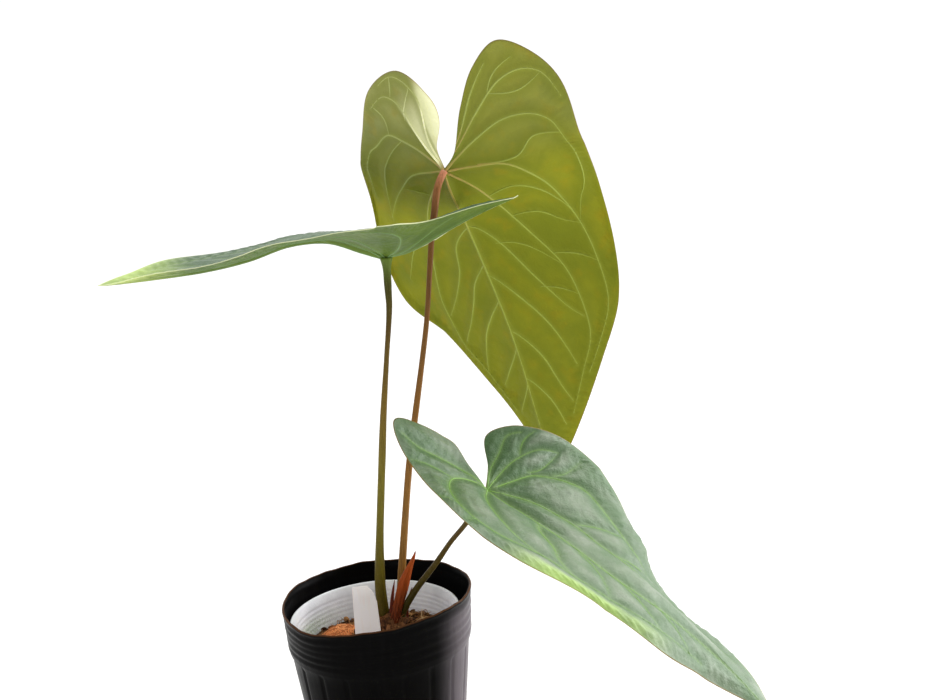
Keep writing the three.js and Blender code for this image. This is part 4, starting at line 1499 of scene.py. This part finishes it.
@dataclass
class Sheaths:
    """The dry pointed bracts at the crown: one tall and papery, two small and dark red."""

    stations: tuple[tuple[float, float, float], ...] = (
        (84, 9.5, 3), (91, 11.5, 3.3), (98, 13.8, 3.4), (106, 16.6, 3.7), (112, 18.6, 3.5), (120, 22, 2.3),
        (127, 25.4, 1.1), (131, 27, 0.35),
    )
    front: float = -7.4
    curl: float = 1.9
    widest: float = 3.7
    thickness: float = 0.7
    spikes: dict[str, tuple[Point, ...]] = field(default_factory=lambda: {
        "cataphyll_left": ((7.9, -3, 84), (8.6, -3, 93), (10.2, -2.8, 103), (12.1, -2.6, 111.6)),
        "cataphyll_right": ((16.6, 2.6, 82), (17.6, 1.6, 90), (19.6, 1.2, 97), (22.4, 0.8, 104.6)),
    })

    def tall(self) -> Piece:
        """Builds the tall papery sheath, pleated along its length.

        Returns:
            The piece.
        """
        track = Track([s[0] for s in self.stations], [(s[1], s[2]) for s in self.stations])
        rows, columns = 70, 22
        height = np.linspace(self.stations[0][0], self.stations[-1][0], rows + 1)
        middle, half = track.at(height).T
        across = np.linspace(-1, 1, columns + 1)
        pleat = 0.22 * np.sin(9 * across[None] + 0.05 * height[:, None])
        x = middle[:, None] + across[None] * half[:, None]
        share = half[:, None] / self.widest
        depth = self.front + self.curl * across[None] ** 2 * share + pleat * half[:, None] / self.widest
        front = np.stack([x, depth - self.thickness / 2, height[:, None] + 0 * x], -1)
        back = np.stack([x, depth + self.thickness / 2, height[:, None] + 0 * x], -1)
        rings = np.concatenate([front, back[:, ::-1]], 1)
        count = rings.shape[1]
        faces = []
        for i in range(rows):
            for j in range(count):
                k = (j + 1) % count
                faces.append((i * count + j, i * count + k, (i + 1) * count + k, (i + 1) * count + j))
        faces.append(tuple(reversed(range(count))))
        faces.append(tuple(rows * count + j for j in range(count)))
        shade = 0.35 + 0.55 * smoothstep(rings[..., 2], 88, 118)
        piece = mesh_piece("sheath_tall", rings.reshape(-1, 3), faces, {"shade": shade.ravel()})
        finish = FibreFinish(
            "sheath_papery", (0.05, 0.01, 0.004), (0.42, 0.075, 0.01), 0.5, (1, 1, 0.05), 1400,
        )
        dress(piece, "dry_sheath", ["cataphyll_tall"], finish.material())
        return piece

    def build(self) -> list[Piece]:
        """Builds the three sheaths.

        Returns:
            The pieces.
        """
        red = FibreFinish("sheath_red", (0.07, 0.012, 0.006), (0.26, 0.045, 0.02), 0.45, (1, 1, 0.06), 1400)
        made = [self.tall()]
        for node, path in self.spikes.items():
            tubes = Tubes()
            tubes.add(path, ((0, 1.5), (0.35, 1.35), (0.8, 0.7), (1, 0.2)), 14, 30, 0.7, 0.5)
            piece = tubes.piece(node.replace("cataphyll", "sheath"))
            dress(piece, "red_sheath", [node], red.material())
            made.append(piece)
        return made


# Crown, medium and tufts


@dataclass
class Crown:
    """The short rough stem with scar rings, papery scraps and its upper roots."""

    centre: Point = (8, 0, 82)
    size: Point = (10, 9, 9)
    roots: tuple[tuple[float, float, float, float], ...] = (
        (205, 13, 9, 1.5), (258, 11, 9, 1.7), (318, 13, 10, 1.5), (20, 14, 9, 1.3), (85, 12, 9, 1.6),
        (150, 13, 10, 1.4),
    )
    scraps: int = 46

    def lump(self) -> tuple[np.ndarray, list[tuple[int, ...]], np.ndarray]:
        """Makes the rough stem.

        Returns:
            Its points in millimetres, its faces and the roughness of each point.
        """
        bpy.ops.object.select_all(action="DESELECT")
        bpy.ops.mesh.primitive_uv_sphere_add(segments=72, ring_count=48, radius=1, location=(0, 0, 0))
        ball = bpy.context.active_object
        rows = vertex_array(ball) * MM
        turn = np.arctan2(rows[:, 1], rows[:, 0])
        height = rows[:, 2]
        scars = 1 + 0.05 * np.sin(14 * height) + 0.05 * np.sin(3 * turn + 4 * height) * (1 - height**2)
        rough = np.array([noise.fractal(Vector(row) * 3.2, 0.8, 2.2, 4) for row in rows])
        rows = rows * (scars + 0.055 * rough)[:, None] * np.array(self.size) + np.array(self.centre)
        faces = [tuple(p.vertices) for p in ball.data.polygons]
        bpy.data.objects.remove(ball)
        return rows, faces, rough

    def add_roots(self, tubes: Tubes, dice: random.Random) -> None:
        """Adds two roots at each place.

        Args:
            tubes: the tubes made so far.
            dice: the source of chance.
        """
        for turn_at, reach, drop, thick in self.roots:
            for extra in (0, 1):
                angle = math.radians(turn_at + extra * dice.uniform(18, 34))
                far = reach - 1.5 * extra
                stations = ((4, 2 - extra), (8, 1.5 - extra), (far - 1, -2), (far, -drop))
                x, y, z = self.centre
                path = [(x + r * math.cos(angle), y + r * math.sin(angle), z + dz) for r, dz in stations]
                width = thick * (1 - 0.35 * extra)
                radii = [(0, width), (0.6, 0.9 * width), (1, 0.7 * width)]
                tubes.add(path, radii, 12, 18, 1, dice.uniform(0.2, 0.8))

    def add_scraps(self, tubes: Tubes, dice: random.Random) -> None:
        """Adds the papery scraps all over the stem.

        Args:
            tubes: the tubes made so far.
            dice: the source of chance.
        """
        for _ in range(self.scraps):
            angle = dice.uniform(0, 2 * math.pi)
            lift = dice.uniform(-0.2, 0.9)
            side = math.sqrt(1 - lift * lift)
            way = (side * math.cos(angle), side * math.sin(angle), lift)
            foot = np.array(self.centre) + np.array(self.size) * way
            away = np.array((math.cos(angle), math.sin(angle), 0.9))
            tip = foot + away * dice.uniform(1.5, 4.5)
            bend = (foot + tip) / 2 + np.array((0, 0, dice.uniform(-0.6, 0.8)))
            path = [foot - away * 0.6, bend, tip]
            tubes.add(path, [(0, 0.42), (1, 0.12)], 5, 5, 0.5, dice.uniform(0.3, 1))

    def build(self) -> Piece:
        """Builds the crown, its roots and its scraps as one mesh.

        Returns:
            The piece.
        """
        rows, faces, rough = self.lump()
        tubes = Tubes()
        dice = random.Random(5)
        self.add_roots(tubes, dice)
        self.add_scraps(tubes, dice)
        faces += [tuple(i + len(rows) for i in face) for face in tubes.faces]
        points = np.concatenate([rows, *tubes.points])
        shade = np.concatenate([0.35 + 0.27 * rough, *tubes.shade])
        piece = mesh_piece("crown_with_roots", points, faces, {"shade": shade})
        finish = FibreFinish("crown_bark", (0.05, 0.018, 0.008), (0.36, 0.15, 0.06), 0.8, (1, 1, 0.5), 900)
        dress(piece, "crown_bark", ["crown"], finish.material())
        return piece


@dataclass
class Medium:
    """Coir and bark that fills the liner: a bumpy mound strewn with chips and fibres."""

    centre: tuple[float, float] = (-2, -2)
    crown: tuple[float, float] = (8, 0)
    edge_height: float = 70
    mound_height: float = 80.5
    top_radius: float = 47.3
    foot_radius: float = 37.6
    foot: float = 3.1
    bump: float = 1.1
    chips: int = 420
    fibres: int = 520
    bare: float = 8

    def height(self, x: np.ndarray | float, y: np.ndarray | float) -> np.ndarray:
        """Finds the surface height.

        Args:
            x: place to the right.
            y: place to the back.

        Returns:
            The height there.
        """
        reach = np.hypot(x - self.crown[0], y - self.crown[1])
        mound = self.mound_height - (self.mound_height - self.edge_height) * smoothstep(reach, 4, 50)
        lumps = np.sin(0.33 * x + 1.3) * np.cos(0.29 * y) + 0.6 * np.sin(0.61 * y - 0.47 * x)
        return mound + self.bump * lumps

    def body(self) -> Piece:
        """Builds the mound itself.

        Returns:
            The piece.
        """
        rings = 46
        profile = [(0, self.foot), (self.foot_radius, self.foot), (self.top_radius, self.edge_height - 4)]
        profile += [(self.top_radius * (1 - i / rings), self.edge_height + 4) for i in range(rings + 1)]
        piece = spun("growing_medium_body", profile, 144)
        rows = vertex_array(piece)
        rows[:, 0] += self.centre[0]
        rows[:, 1] += self.centre[1]
        top = rows[:, 2] > self.edge_height + 1
        places = [Vector((x * 0.16, y * 0.16, 3)) for x, y in rows[top][:, :2]]
        grit = np.array([noise.fractal(place, 0.9, 2.1, 5) for place in places])
        rows[top, 2] = self.height(rows[top, 0], rows[top, 1]) + 0.8 * grit - 0.5
        move_vertices(piece, rows)
        add_attribute(piece, "shade", 0.3 + 0.25 * np.sin(rows[:, 0] * 0.4) * np.cos(rows[:, 1] * 0.5))
        finish = FibreFinish("coir_bed", (0.05, 0.02, 0.008), (0.42, 0.18, 0.065), 0.95, (1, 1, 1), 420)
        dress(piece, "coir_mix", ["growing_medium"], finish.material())
        return piece

    def litter(self) -> Piece:
        """Strews chips and loose fibres on the mound.

        Returns:
            The piece.
        """
        dice = random.Random(17)
        tubes = Tubes()
        for i in range(self.chips + self.fibres):
            radius = self.top_radius * math.sqrt(dice.uniform(0.01, 0.93))
            angle = dice.uniform(0, 2 * math.pi)
            x = self.centre[0] + radius * math.cos(angle)
            y = self.centre[1] + radius * math.sin(angle)
            if math.hypot(x - self.crown[0], y - self.crown[1]) < self.bare:
                continue
            z = float(self.height(x, y))
            turn = dice.uniform(0, 2 * math.pi)
            way = np.array((math.cos(turn), math.sin(turn), dice.uniform(-0.3, 0.35)))
            here = np.array((x, y, z))
            if i < self.chips:
                size = dice.uniform(1.0, 3.4)
                path = [here - way * size, here + (0, 0, 0.3), here + way * size]
                width = size * dice.uniform(0.35, 0.75)
                radii = [(0, 0.45 * width), (0.4, width), (1, 0.4 * width)]
                tubes.add(path, radii, 6, 4, dice.uniform(0.3, 0.7), dice.uniform(0, 1))
            else:
                reach = dice.uniform(2.5, 7)
                room = self.top_radius - radius
                reach = min(reach, max(1.5, room))
                lift = dice.uniform(0.2, 2.6)
                side = np.array((-way[1], way[0], 0)) * dice.uniform(-0.5, 0.5) * reach
                tip = here + way * reach + (0, 0, dice.uniform(-0.8, 1.5))
                path = [here - way * reach, here + side + (0, 0, lift), tip]
                tubes.add(path, [(0, 0.14), (0.5, 0.2), (1, 0.1)], 4, 8, 1, dice.uniform(0.3, 1))
        piece = tubes.piece("growing_medium_litter")
        finish = FibreFinish("coir_litter", (0.05, 0.018, 0.007), (0.5, 0.25, 0.1), 0.9)
        dress(piece, "coir_mix", [], finish.material())
        return piece


@dataclass
class Tuft:
    """A clump of loose coir fibres lying on the medium."""

    name: str
    node: str
    centre: tuple[float, float]
    size: Point
    finish: FibreFinish
    fibres: int
    width: float
    seed: int
    loose: float = 1.1
    upright: tuple[Point, ...] = ()

    def build(self, medium: Medium) -> Piece:
        """Builds the tuft.

        Args:
            medium: the mound it lies on.

        Returns:
            The piece.
        """
        dice = random.Random(self.seed)
        tubes = Tubes()
        ground = float(medium.height(*self.centre))
        size = np.array(self.size)
        middle = np.array((*self.centre, ground))
        for _ in range(self.fibres):
            turn = dice.uniform(0, 2 * math.pi)
            bend = dice.uniform(0.6, 2.4) * dice.choice((-1, 1))
            lift = dice.uniform(0.1, 0.98)
            reach = dice.uniform(0.3, self.loose)
            path = []
            for k in range(6):
                share = k / 5 - 0.5
                angle = turn + bend * share
                spread = reach * 2 * share
                offset = np.array((math.cos(angle) * spread, math.sin(angle) * spread, 0))
                offset += np.array((dice.uniform(-0.32, 0.32), dice.uniform(-0.32, 0.32), 0))
                span = min(1.0, float(np.hypot(offset[0], offset[1])))
                offset[2] = lift * math.sqrt(max(0.0, 1 - span * span)) + dice.uniform(0, 0.1)
                path.append(tuple(middle + offset * size))
            width = self.width * dice.uniform(0.6, 1.3)
            radii = [(0, 0.7 * width), (0.5, width), (1, 0.4 * width)]
            tubes.add(path, radii, 5, 14, 1, dice.uniform(0, 1))
        if self.upright:
            tubes.add(self.upright, [(0, 0.45), (0.6, 0.4), (1, 0.2)], 7, 14, 1, 1.0)
        piece = tubes.piece(self.name)
        dress(piece, "coir_fibre", [self.node], self.finish.material())
        return piece


def tufts() -> list[Tuft]:
    """Lists the tufts of loose fibre.

    Returns:
        The left and the right tuft.
    """
    # The orange coir shines with a painted glow, lifting it out of the pot's shade.
    orange = FibreFinish("coir_orange", (0.4, 0.1, 0.03), (0.97, 0.42, 0.16), 0.85, through=0.12)
    tan = FibreFinish("coir_tan", (0.3, 0.14, 0.05), (0.9, 0.62, 0.34), 0.85)
    return [
        Tuft("coir_tuft_left_fibres", "coir_tuft_left", (-24, 3), (13, 9, 8), orange, 300, 0.4, 11),
        Tuft("coir_tuft_right_fibres", "coir_tuft_right", (31, 4), (11, 8, 5.5), tan, 170, 0.26, 29, 1.25,
             ((27, 1, 76), (27.3, 0.5, 81), (26.8, 0, 86), (27.6, -0.4, 90))),
    ]


# Pots and label


@dataclass
class FilmPot:
    """The thin black nursery pot: flat foot, pleated wall, ribbed band, and an uneven rolled lip."""

    foot_radius: float = 47.5
    shoulder_radius: float = 57.4
    rim_radius: float = 59.2
    lip_radius: float = 60
    shoulder: float = 74
    height: float = 103
    wall: float = 0.9
    floor: float = 1.3
    steps: int = 240
    grooves: int = 20
    groove_depth: float = 0.8
    groove_width: float = 0.9
    ribs: int = 5
    buckle: float = 0.21
    crease: float = 0.1
    dented_from: float = 40
    # Angles round the pot, in degrees, where the painted sheen fades in and where it fades out.
    painted_sheen_begins: tuple[float, float] = (-52, -22)
    painted_sheen_ends: tuple[float, float] = (20, 60)
    lip_waves: tuple[tuple[float, float, int], ...] = (
        (2, -10, 1), (1.2, -43, 2), (0.4, 50, 3), (0.3, 0, 7), (0.18, 20, 13), (0.12, 5, 29),
    )

    def lip(self, angle: np.ndarray) -> np.ndarray:
        """Returns how much the lip rises at an angle: height, where it is highest, times round."""
        waves = self.lip_waves
        return sum(rise * np.cos(times * (angle - math.radians(top))) for rise, top, times in waves)

    def wall_radius(self, z: np.ndarray | float) -> np.ndarray | float:
        """Returns the outside radius below the shoulder."""
        return self.foot_radius + (self.shoulder_radius - 1 - self.foot_radius) * z / self.shoulder

    def band_radius(self, z: np.ndarray | float) -> np.ndarray | float:
        """Returns the outside radius above the shoulder."""
        share = (z - self.shoulder) / (self.height - self.shoulder)
        return self.shoulder_radius + (self.rim_radius - self.shoulder_radius) * share

    def profile(self) -> list[tuple[float, float]]:
        """Draws the pot from the middle of its foot, up the outside and down the inside.

        Returns:
            The radius and height of each point.
        """
        wall, band = self.wall_radius, self.band_radius
        outline = [(0, 0), (self.foot_radius - 1.5, 0), (self.foot_radius - 0.4, 0.4)]
        outline += [(self.foot_radius, 1.5), *((wall(z), z) for z in np.linspace(6, self.shoulder - 4, 12))]
        outline += [(self.shoulder_radius - 0.4, self.shoulder - 1.2)]
        outline += [(self.shoulder_radius, self.shoulder)]
        pitch = (self.height - self.shoulder - 5) / self.ribs
        for i in range(self.ribs):
            z = self.shoulder + 1.5 + i * pitch
            for share, proud in ((0, 0.1), (0.2, 0.42), (0.4, 0.5), (0.6, 0.42), (0.8, 0.1)):
                outline.append((band(z + share * pitch) + proud, z + share * pitch))
        outline += [(self.rim_radius, self.height - 2.6), (self.lip_radius - 0.2, self.height - 2)]
        outline += [(self.lip_radius, self.height - 1), (self.lip_radius - 0.25, self.height - 0.2)]
        outline += [(self.lip_radius - 0.6, self.height), (self.rim_radius - self.wall, self.height - 0.5)]
        inner = (self.height - 6, self.height - 14, self.shoulder + 1)
        outline += [(band(z) - self.wall, z) for z in inner]
        outline += [(wall(z) - self.wall, z) for z in np.linspace(self.shoulder - 4, 8, 8)]
        outline += [(self.foot_radius - 2.5, self.floor), (0, self.floor)]
        return outline

    def dented(self, rows: np.ndarray, angle: np.ndarray, radius: np.ndarray) -> np.ndarray:
        """Works out the pleats, buckles and creases.

        Args:
            rows: the pot's points.
            angle: their angles round the pot.
            radius: their distances from the axis.

        Returns:
            The new distance of each point from the axis.
        """
        height = rows[:, 2]
        pitch = 2 * math.pi / self.grooves
        nearest = np.abs((angle + pitch / 2) % pitch - pitch / 2) * radius
        on_wall = (height > 2) * (radius > self.foot_radius - 3)
        pleat = np.exp(-((nearest / self.groove_width) ** 2)) * on_wall
        pleat = pleat * (1 - smoothstep(height, self.shoulder - 3, self.shoulder - 0.5))
        buckle = self.buckle * np.sin(5 * angle + 0.06 * height) * smoothstep(height, 20, 90)
        crease = self.crease * np.sin(height * 0.9 + 3 * np.sin(2 * angle)) * smoothstep(height, 76, 84)
        return radius - self.groove_depth * pleat + (buckle + crease) * (radius > self.dented_from)

    def add_marks(self, piece: Piece, flat: np.ndarray, angle: np.ndarray, radius: np.ndarray) -> None:
        """Marks the lip, and a painted grey sheen on the outer wall, standing in for reflected light.

        Args:
            piece: the pot.
            flat: the heights of its points, with the lip's waves taken out again.
            angle: their angles round the pot.
            radius: their distances from the axis before the dents.
        """
        outer = smoothstep(radius, self.lip_radius - 1.1, self.lip_radius - 0.7)
        add_attribute(piece, "lip", smoothstep(flat, self.height - 0.8, self.height - 0.1) * outer)
        facing = np.degrees(angle)
        skin = np.where(flat < self.shoulder, self.wall_radius(flat), self.band_radius(flat))
        # Painted sheen, on the outer skin only and below the lip.
        bloom = smoothstep(facing, *self.painted_sheen_begins) * (1 - smoothstep(facing, *self.painted_sheen_ends))
        bloom = bloom * (radius > skin - self.wall / 2)
        add_attribute(piece, "bloom", bloom * (1 - smoothstep(flat, self.height - 12, self.height - 1)))

    def build(self) -> Piece:
        """Builds the black pot.

        Returns:
            The piece.
        """
        piece = spun("nursery_pot", self.profile(), self.steps)
        rows = vertex_array(piece)
        angle = np.arctan2(rows[:, 1], rows[:, 0])
        radius = np.hypot(rows[:, 0], rows[:, 1])
        shrink = self.dented(rows, angle, radius) / np.maximum(radius, 1e-6)
        rows[:, 0] *= shrink
        rows[:, 1] *= shrink
        rows[:, 2] += smoothstep(rows[:, 2], self.shoulder, self.height) * self.lip(angle)
        rows[:, 2] = np.maximum(rows[:, 2], 0)
        move_vertices(piece, rows)
        flat = rows[:, 2] - smoothstep(rows[:, 2], self.shoulder, self.height) * self.lip(angle)
        self.add_marks(piece, flat, angle, radius)
        finish = FilmFinish(
            "black_film", (0.0022, 0.002, 0.002), (0.03, 0.027, 0.03), (0.12, 0.05, 0.022), 0.05, 0.3, 0.03,
        )
        dress(piece, "black_film", ["outer_pot"], finish.material())
        return piece


@dataclass
class LinerPot:
    """The milky liner pot, with shallow bands and a small lip."""

    centre: tuple[float, float] = (-2, -2)
    foot_radius: float = 40
    rim_radius: float = 52.6
    lip_radius: float = 53.6
    base: float = 1.65
    height: float = 91
    wall: float = 0.8
    band_pitch: float = 3.0
    band_depth: float = 0.35

    def radius(self, z: float) -> float:
        """Returns the outside radius at a height."""
        spread = self.rim_radius - self.foot_radius
        return self.foot_radius + spread * (z - self.base) / (self.height - self.base)

    def build(self) -> Piece:
        """Builds the liner.

        Returns:
            The piece.
        """
        heights = np.linspace(self.base + 4, self.height - 5, 110)
        ripple = -self.band_depth * (0.5 - 0.5 * np.cos(2 * math.pi * heights / self.band_pitch))
        outline = [(0, self.base), (self.foot_radius - 1.5, self.base), (self.foot_radius, self.base + 1.5)]
        outline += [(self.radius(z) + r, z) for z, r in zip(heights, ripple)]
        outline += [(self.rim_radius, self.height - 2.2), (self.lip_radius - 0.3, self.height - 1.9)]
        outline += [(self.lip_radius, self.height - 0.9), (self.lip_radius - 0.3, self.height - 0.1)]
        outline += [(self.rim_radius - 0.2, self.height), (self.rim_radius - self.wall, self.height - 0.8)]
        outline += [(self.radius(z) + r - self.wall, z) for z, r in zip(heights[::-1], ripple[::-1])]
        outline += [(self.foot_radius - 2, self.base + 1.1), (0, self.base + 1.1)]
        piece = spun("liner_pot", outline, 180)
        rows = vertex_array(piece)
        turn = np.arctan2(rows[:, 1], rows[:, 0])
        add_attribute(piece, "lip", smoothstep(rows[:, 2], self.height - 1.2, self.height - 0.2) * 0.6)
        green = np.exp(-(((turn - 2.75) / 0.5) ** 2)) * (1 - smoothstep(rows[:, 2], 74, 84))
        add_attribute(piece, "algae", green)
        rows[:, :2] += self.centre
        move_vertices(piece, rows)
        dress(piece, "clear_film", ["inner_pot"], self.film())
        return piece

    def film(self) -> Material:
        """Lays out the milky film, with faint streaks, a green stain near the medium and a faint painted
        glow.

        Returns:
            The material.
        """
        material, sheet, shader = new_material("milky_film")
        cloud, grain = mottle(sheet, 60, 1200)
        body = sheet.mix(cloud, (0.66, 0.68, 0.73), (0.86, 0.87, 0.92))
        stain = sheet.math("MULTIPLY", sheet.mark("algae"), sheet.math("ADD", grain, 0.2))
        body = sheet.mix(stain, body, (0.2, 0.3, 0.1))
        body = sheet.mix(sheet.mark("lip"), body, (0.8, 0.83, 0.85))
        sheet.put(body, shader.inputs["Base Color"])
        shader.inputs["Roughness"].default_value = 0.32
        # Painted glow: the film shines faintly in a pale tone, standing in for light through it.
        shader.inputs["Emission Color"].default_value = (0.85, 0.84, 0.9, 1.0)
        shader.inputs["Emission Strength"].default_value = 0.14
        sheet.put(sheet.bump(grain, 0.0002, 0.3), shader.inputs["Normal"])
        return material


@dataclass
class Label:
    """A plain white tag with cut corners, leaning in the medium."""

    foot: Point = (-6.6, -12, 64)
    lean: float = 0.7
    thickness: float = 0.7
    bevel: float = 0.18
    bow: float = 0.25
    outline: tuple[tuple[float, float], ...] = (
        (-4.5, 0), (4.5, 0), (8.3, 16), (7.8, 38.3), (5.9, 44.7), (2.8, 49), (-5.8, 49), (-6.6, 48.2),
        (-7.9, 16),
    )

    def build(self) -> Piece:
        """Builds the tag, bevelled and slightly bowed.

        Returns:
            The piece.
        """
        mesh = bpy.data.meshes.new("plant_tag")
        rows = [(x * MM, -self.thickness / 2 * MM, y * MM) for x, y in self.outline]
        mesh.from_pydata(rows, [], [tuple(range(len(rows)))])
        piece = linked("plant_tag", mesh)
        with editing(piece):
            bpy.ops.mesh.extrude_region_move(TRANSFORM_OT_translate={"value": (0, self.thickness * MM, 0)})
            bpy.ops.mesh.select_all(action="SELECT")
            for height in range(6, 48, 6):
                bpy.ops.mesh.bisect(plane_co=(0, 0, height * MM), plane_no=(0, 0, 1))
                bpy.ops.mesh.select_all(action="SELECT")
            bpy.ops.mesh.normals_make_consistent(inside=False)
        bevel = piece.modifiers.new("edge", "BEVEL")
        bevel.width, bevel.segments, bevel.limit_method = self.bevel * MM, 2, "ANGLE"
        bpy.ops.object.modifier_apply(modifier="edge")
        bpy.ops.object.shade_smooth_by_angle(angle=math.radians(35))
        points = vertex_array(piece)
        tall = max(y for _, y in self.outline)
        points[:, 1] += self.bow * np.sin(math.pi * points[:, 2] / tall)
        turn = math.radians(-self.lean)
        x = points[:, 0] * math.cos(turn) + points[:, 2] * math.sin(turn)
        z = -points[:, 0] * math.sin(turn) + points[:, 2] * math.cos(turn)
        points = np.stack([x, points[:, 1], z], -1) + np.array(self.foot)
        move_vertices(piece, points)
        add_attribute(piece, "lip", np.zeros(len(points)))
        # The tag's base colour also shines as a painted glow, lifting it out of the pot's shade.
        finish = FilmFinish(
            "tag_plastic", (0.9, 0.84, 0.83), (0.5, 0.42, 0.34), (0.9, 0.9, 0.9), 0.3, 0.45, through=0.22,
        )
        dress(piece, "tag_plastic", ["plant_label"], finish.material())
        return piece


# Studio


class LightSpec(Enum):
    """Each soft light: where it stands, what it aims at, its size, its power and its colour."""

    WINDOW = ((1.3, 0.35, 0.5), (0.0, 0.0, 0.2), 0.9, 12.0, (0.95, 0.96, 1.0))
    FILL = ((-0.9, -1.3, 0.8), (0.0, 0.0, 0.25), 1.2, 5.0, (1.0, 1.0, 1.0))


@dataclass
class Studio:
    """Camera, pale floor and soft light."""

    camera_at: Point = (0.0684, -0.6566, 0.3716)
    pitch: float = 10.18
    roll: float = 4.51
    lens: float = 42.44
    sky_bright: float = 1.05
    sky_dim: float = 0.2
    bright_side: Point = (0.45, 0.89, 0.1)
    sun: float = 1.7
    sun_from: Point = (0.55, 0.75, 1.3)
    floor_size: float = 24.0

    def camera(self) -> None:
        """Sets the camera at the photograph's viewpoint."""
        p, r = math.radians(self.pitch), math.radians(self.roll)
        forward = Vector((0, math.cos(p), -math.sin(p)))
        level = Vector((1, 0, 0))
        down = forward.cross(level)
        right = math.cos(r) * level + math.sin(r) * down
        below = -math.sin(r) * level + math.cos(r) * down
        data = bpy.data.cameras.new("camera")
        data.lens, data.sensor_width = self.lens, 36.0
        camera = linked("camera", data)
        turn = Matrix((right, -below, -forward)).transposed().to_4x4()
        camera.matrix_world = Matrix.Translation(self.camera_at) @ turn
        bpy.context.scene.camera = camera

    def lights(self) -> None:
        """Adds the world and the soft lights."""
        world = bpy.data.worlds.new("studio")
        world.use_nodes = True
        sheet = Sheet(world.node_tree)
        back = world.node_tree.nodes["Background"]
        way = sheet.node("ShaderNodeTexCoord").outputs["Generated"]
        facing = sheet.node("ShaderNodeVectorMath", {"operation": "DOT_PRODUCT"})
        sheet.put(way, facing.inputs[0])
        sheet.put(self.bright_side, facing.inputs[1])
        bright = sheet.span(facing.outputs["Value"], -0.8, 0.5, self.sky_dim, self.sky_bright)
        sheet.put(bright, back.inputs[1])
        back.inputs[0].default_value = (1, 1, 1, 1)
        bpy.context.scene.world = world
        sun = bpy.data.lights.new("sun", "SUN")
        sun.energy, sun.angle, sun.color = self.sun, math.radians(35), (1.0, 0.99, 0.96)
        linked("sun", sun).rotation_euler = Vector(self.sun_from).to_track_quat("Z", "Y").to_euler()
        for spec in LightSpec:
            place, aim, size, power, tint = spec.value
            data = bpy.data.lights.new(spec.name.lower(), "AREA")
            data.shape, data.size, data.energy, data.color = "DISK", size, power, tint
            lamp = linked(spec.name.lower(), data)
            lamp.location = place
            lamp.rotation_euler = (Vector(aim) - Vector(place)).to_track_quat("-Z", "Y").to_euler()

    def floor(self) -> None:
        """Adds the plain pale floor."""
        bpy.ops.object.select_all(action="DESELECT")
        bpy.ops.mesh.primitive_plane_add(size=self.floor_size, location=(0, 0, -0.0002))
        floor = bpy.context.active_object
        floor.name = "floor"
        material, sheet, shader = new_material("floor_paper")
        paper = sheet.mix(sheet.noise(6), (0.86, 0.86, 0.86), (0.9, 0.9, 0.9))
        sheet.put(paper, shader.inputs["Base Color"])
        shader.inputs["Roughness"].default_value = 0.9
        shader.inputs["Specular IOR Level"].default_value = 0.1
        shader.inputs["Emission Color"].default_value = (1, 1, 1, 1)
        shader.inputs["Emission Strength"].default_value = 0.12
        floor.data.materials.append(material)

    def build(self) -> None:
        """Sets up everything that isn't the object."""
        self.camera()
        self.lights()
        self.floor()
        bpy.context.scene.view_settings.view_transform = "Standard"


def main() -> None:
    """Builds the studio and every piece of the plant."""
    logging.basicConfig(level=logging.INFO, format="%(name)s %(message)s")
    Studio().build()
    FilmPot().build()
    LinerPot().build()
    medium = Medium()
    medium.body()
    medium.litter()
    for tuft in tufts():
        tuft.build(medium)
    Label().build()
    Crown().build()
    Sheaths().build()
    for stalk in stalks():
        stalk.build()
    for blade in blades():
        blade.build()


if __name__ == "__main__":
    main()
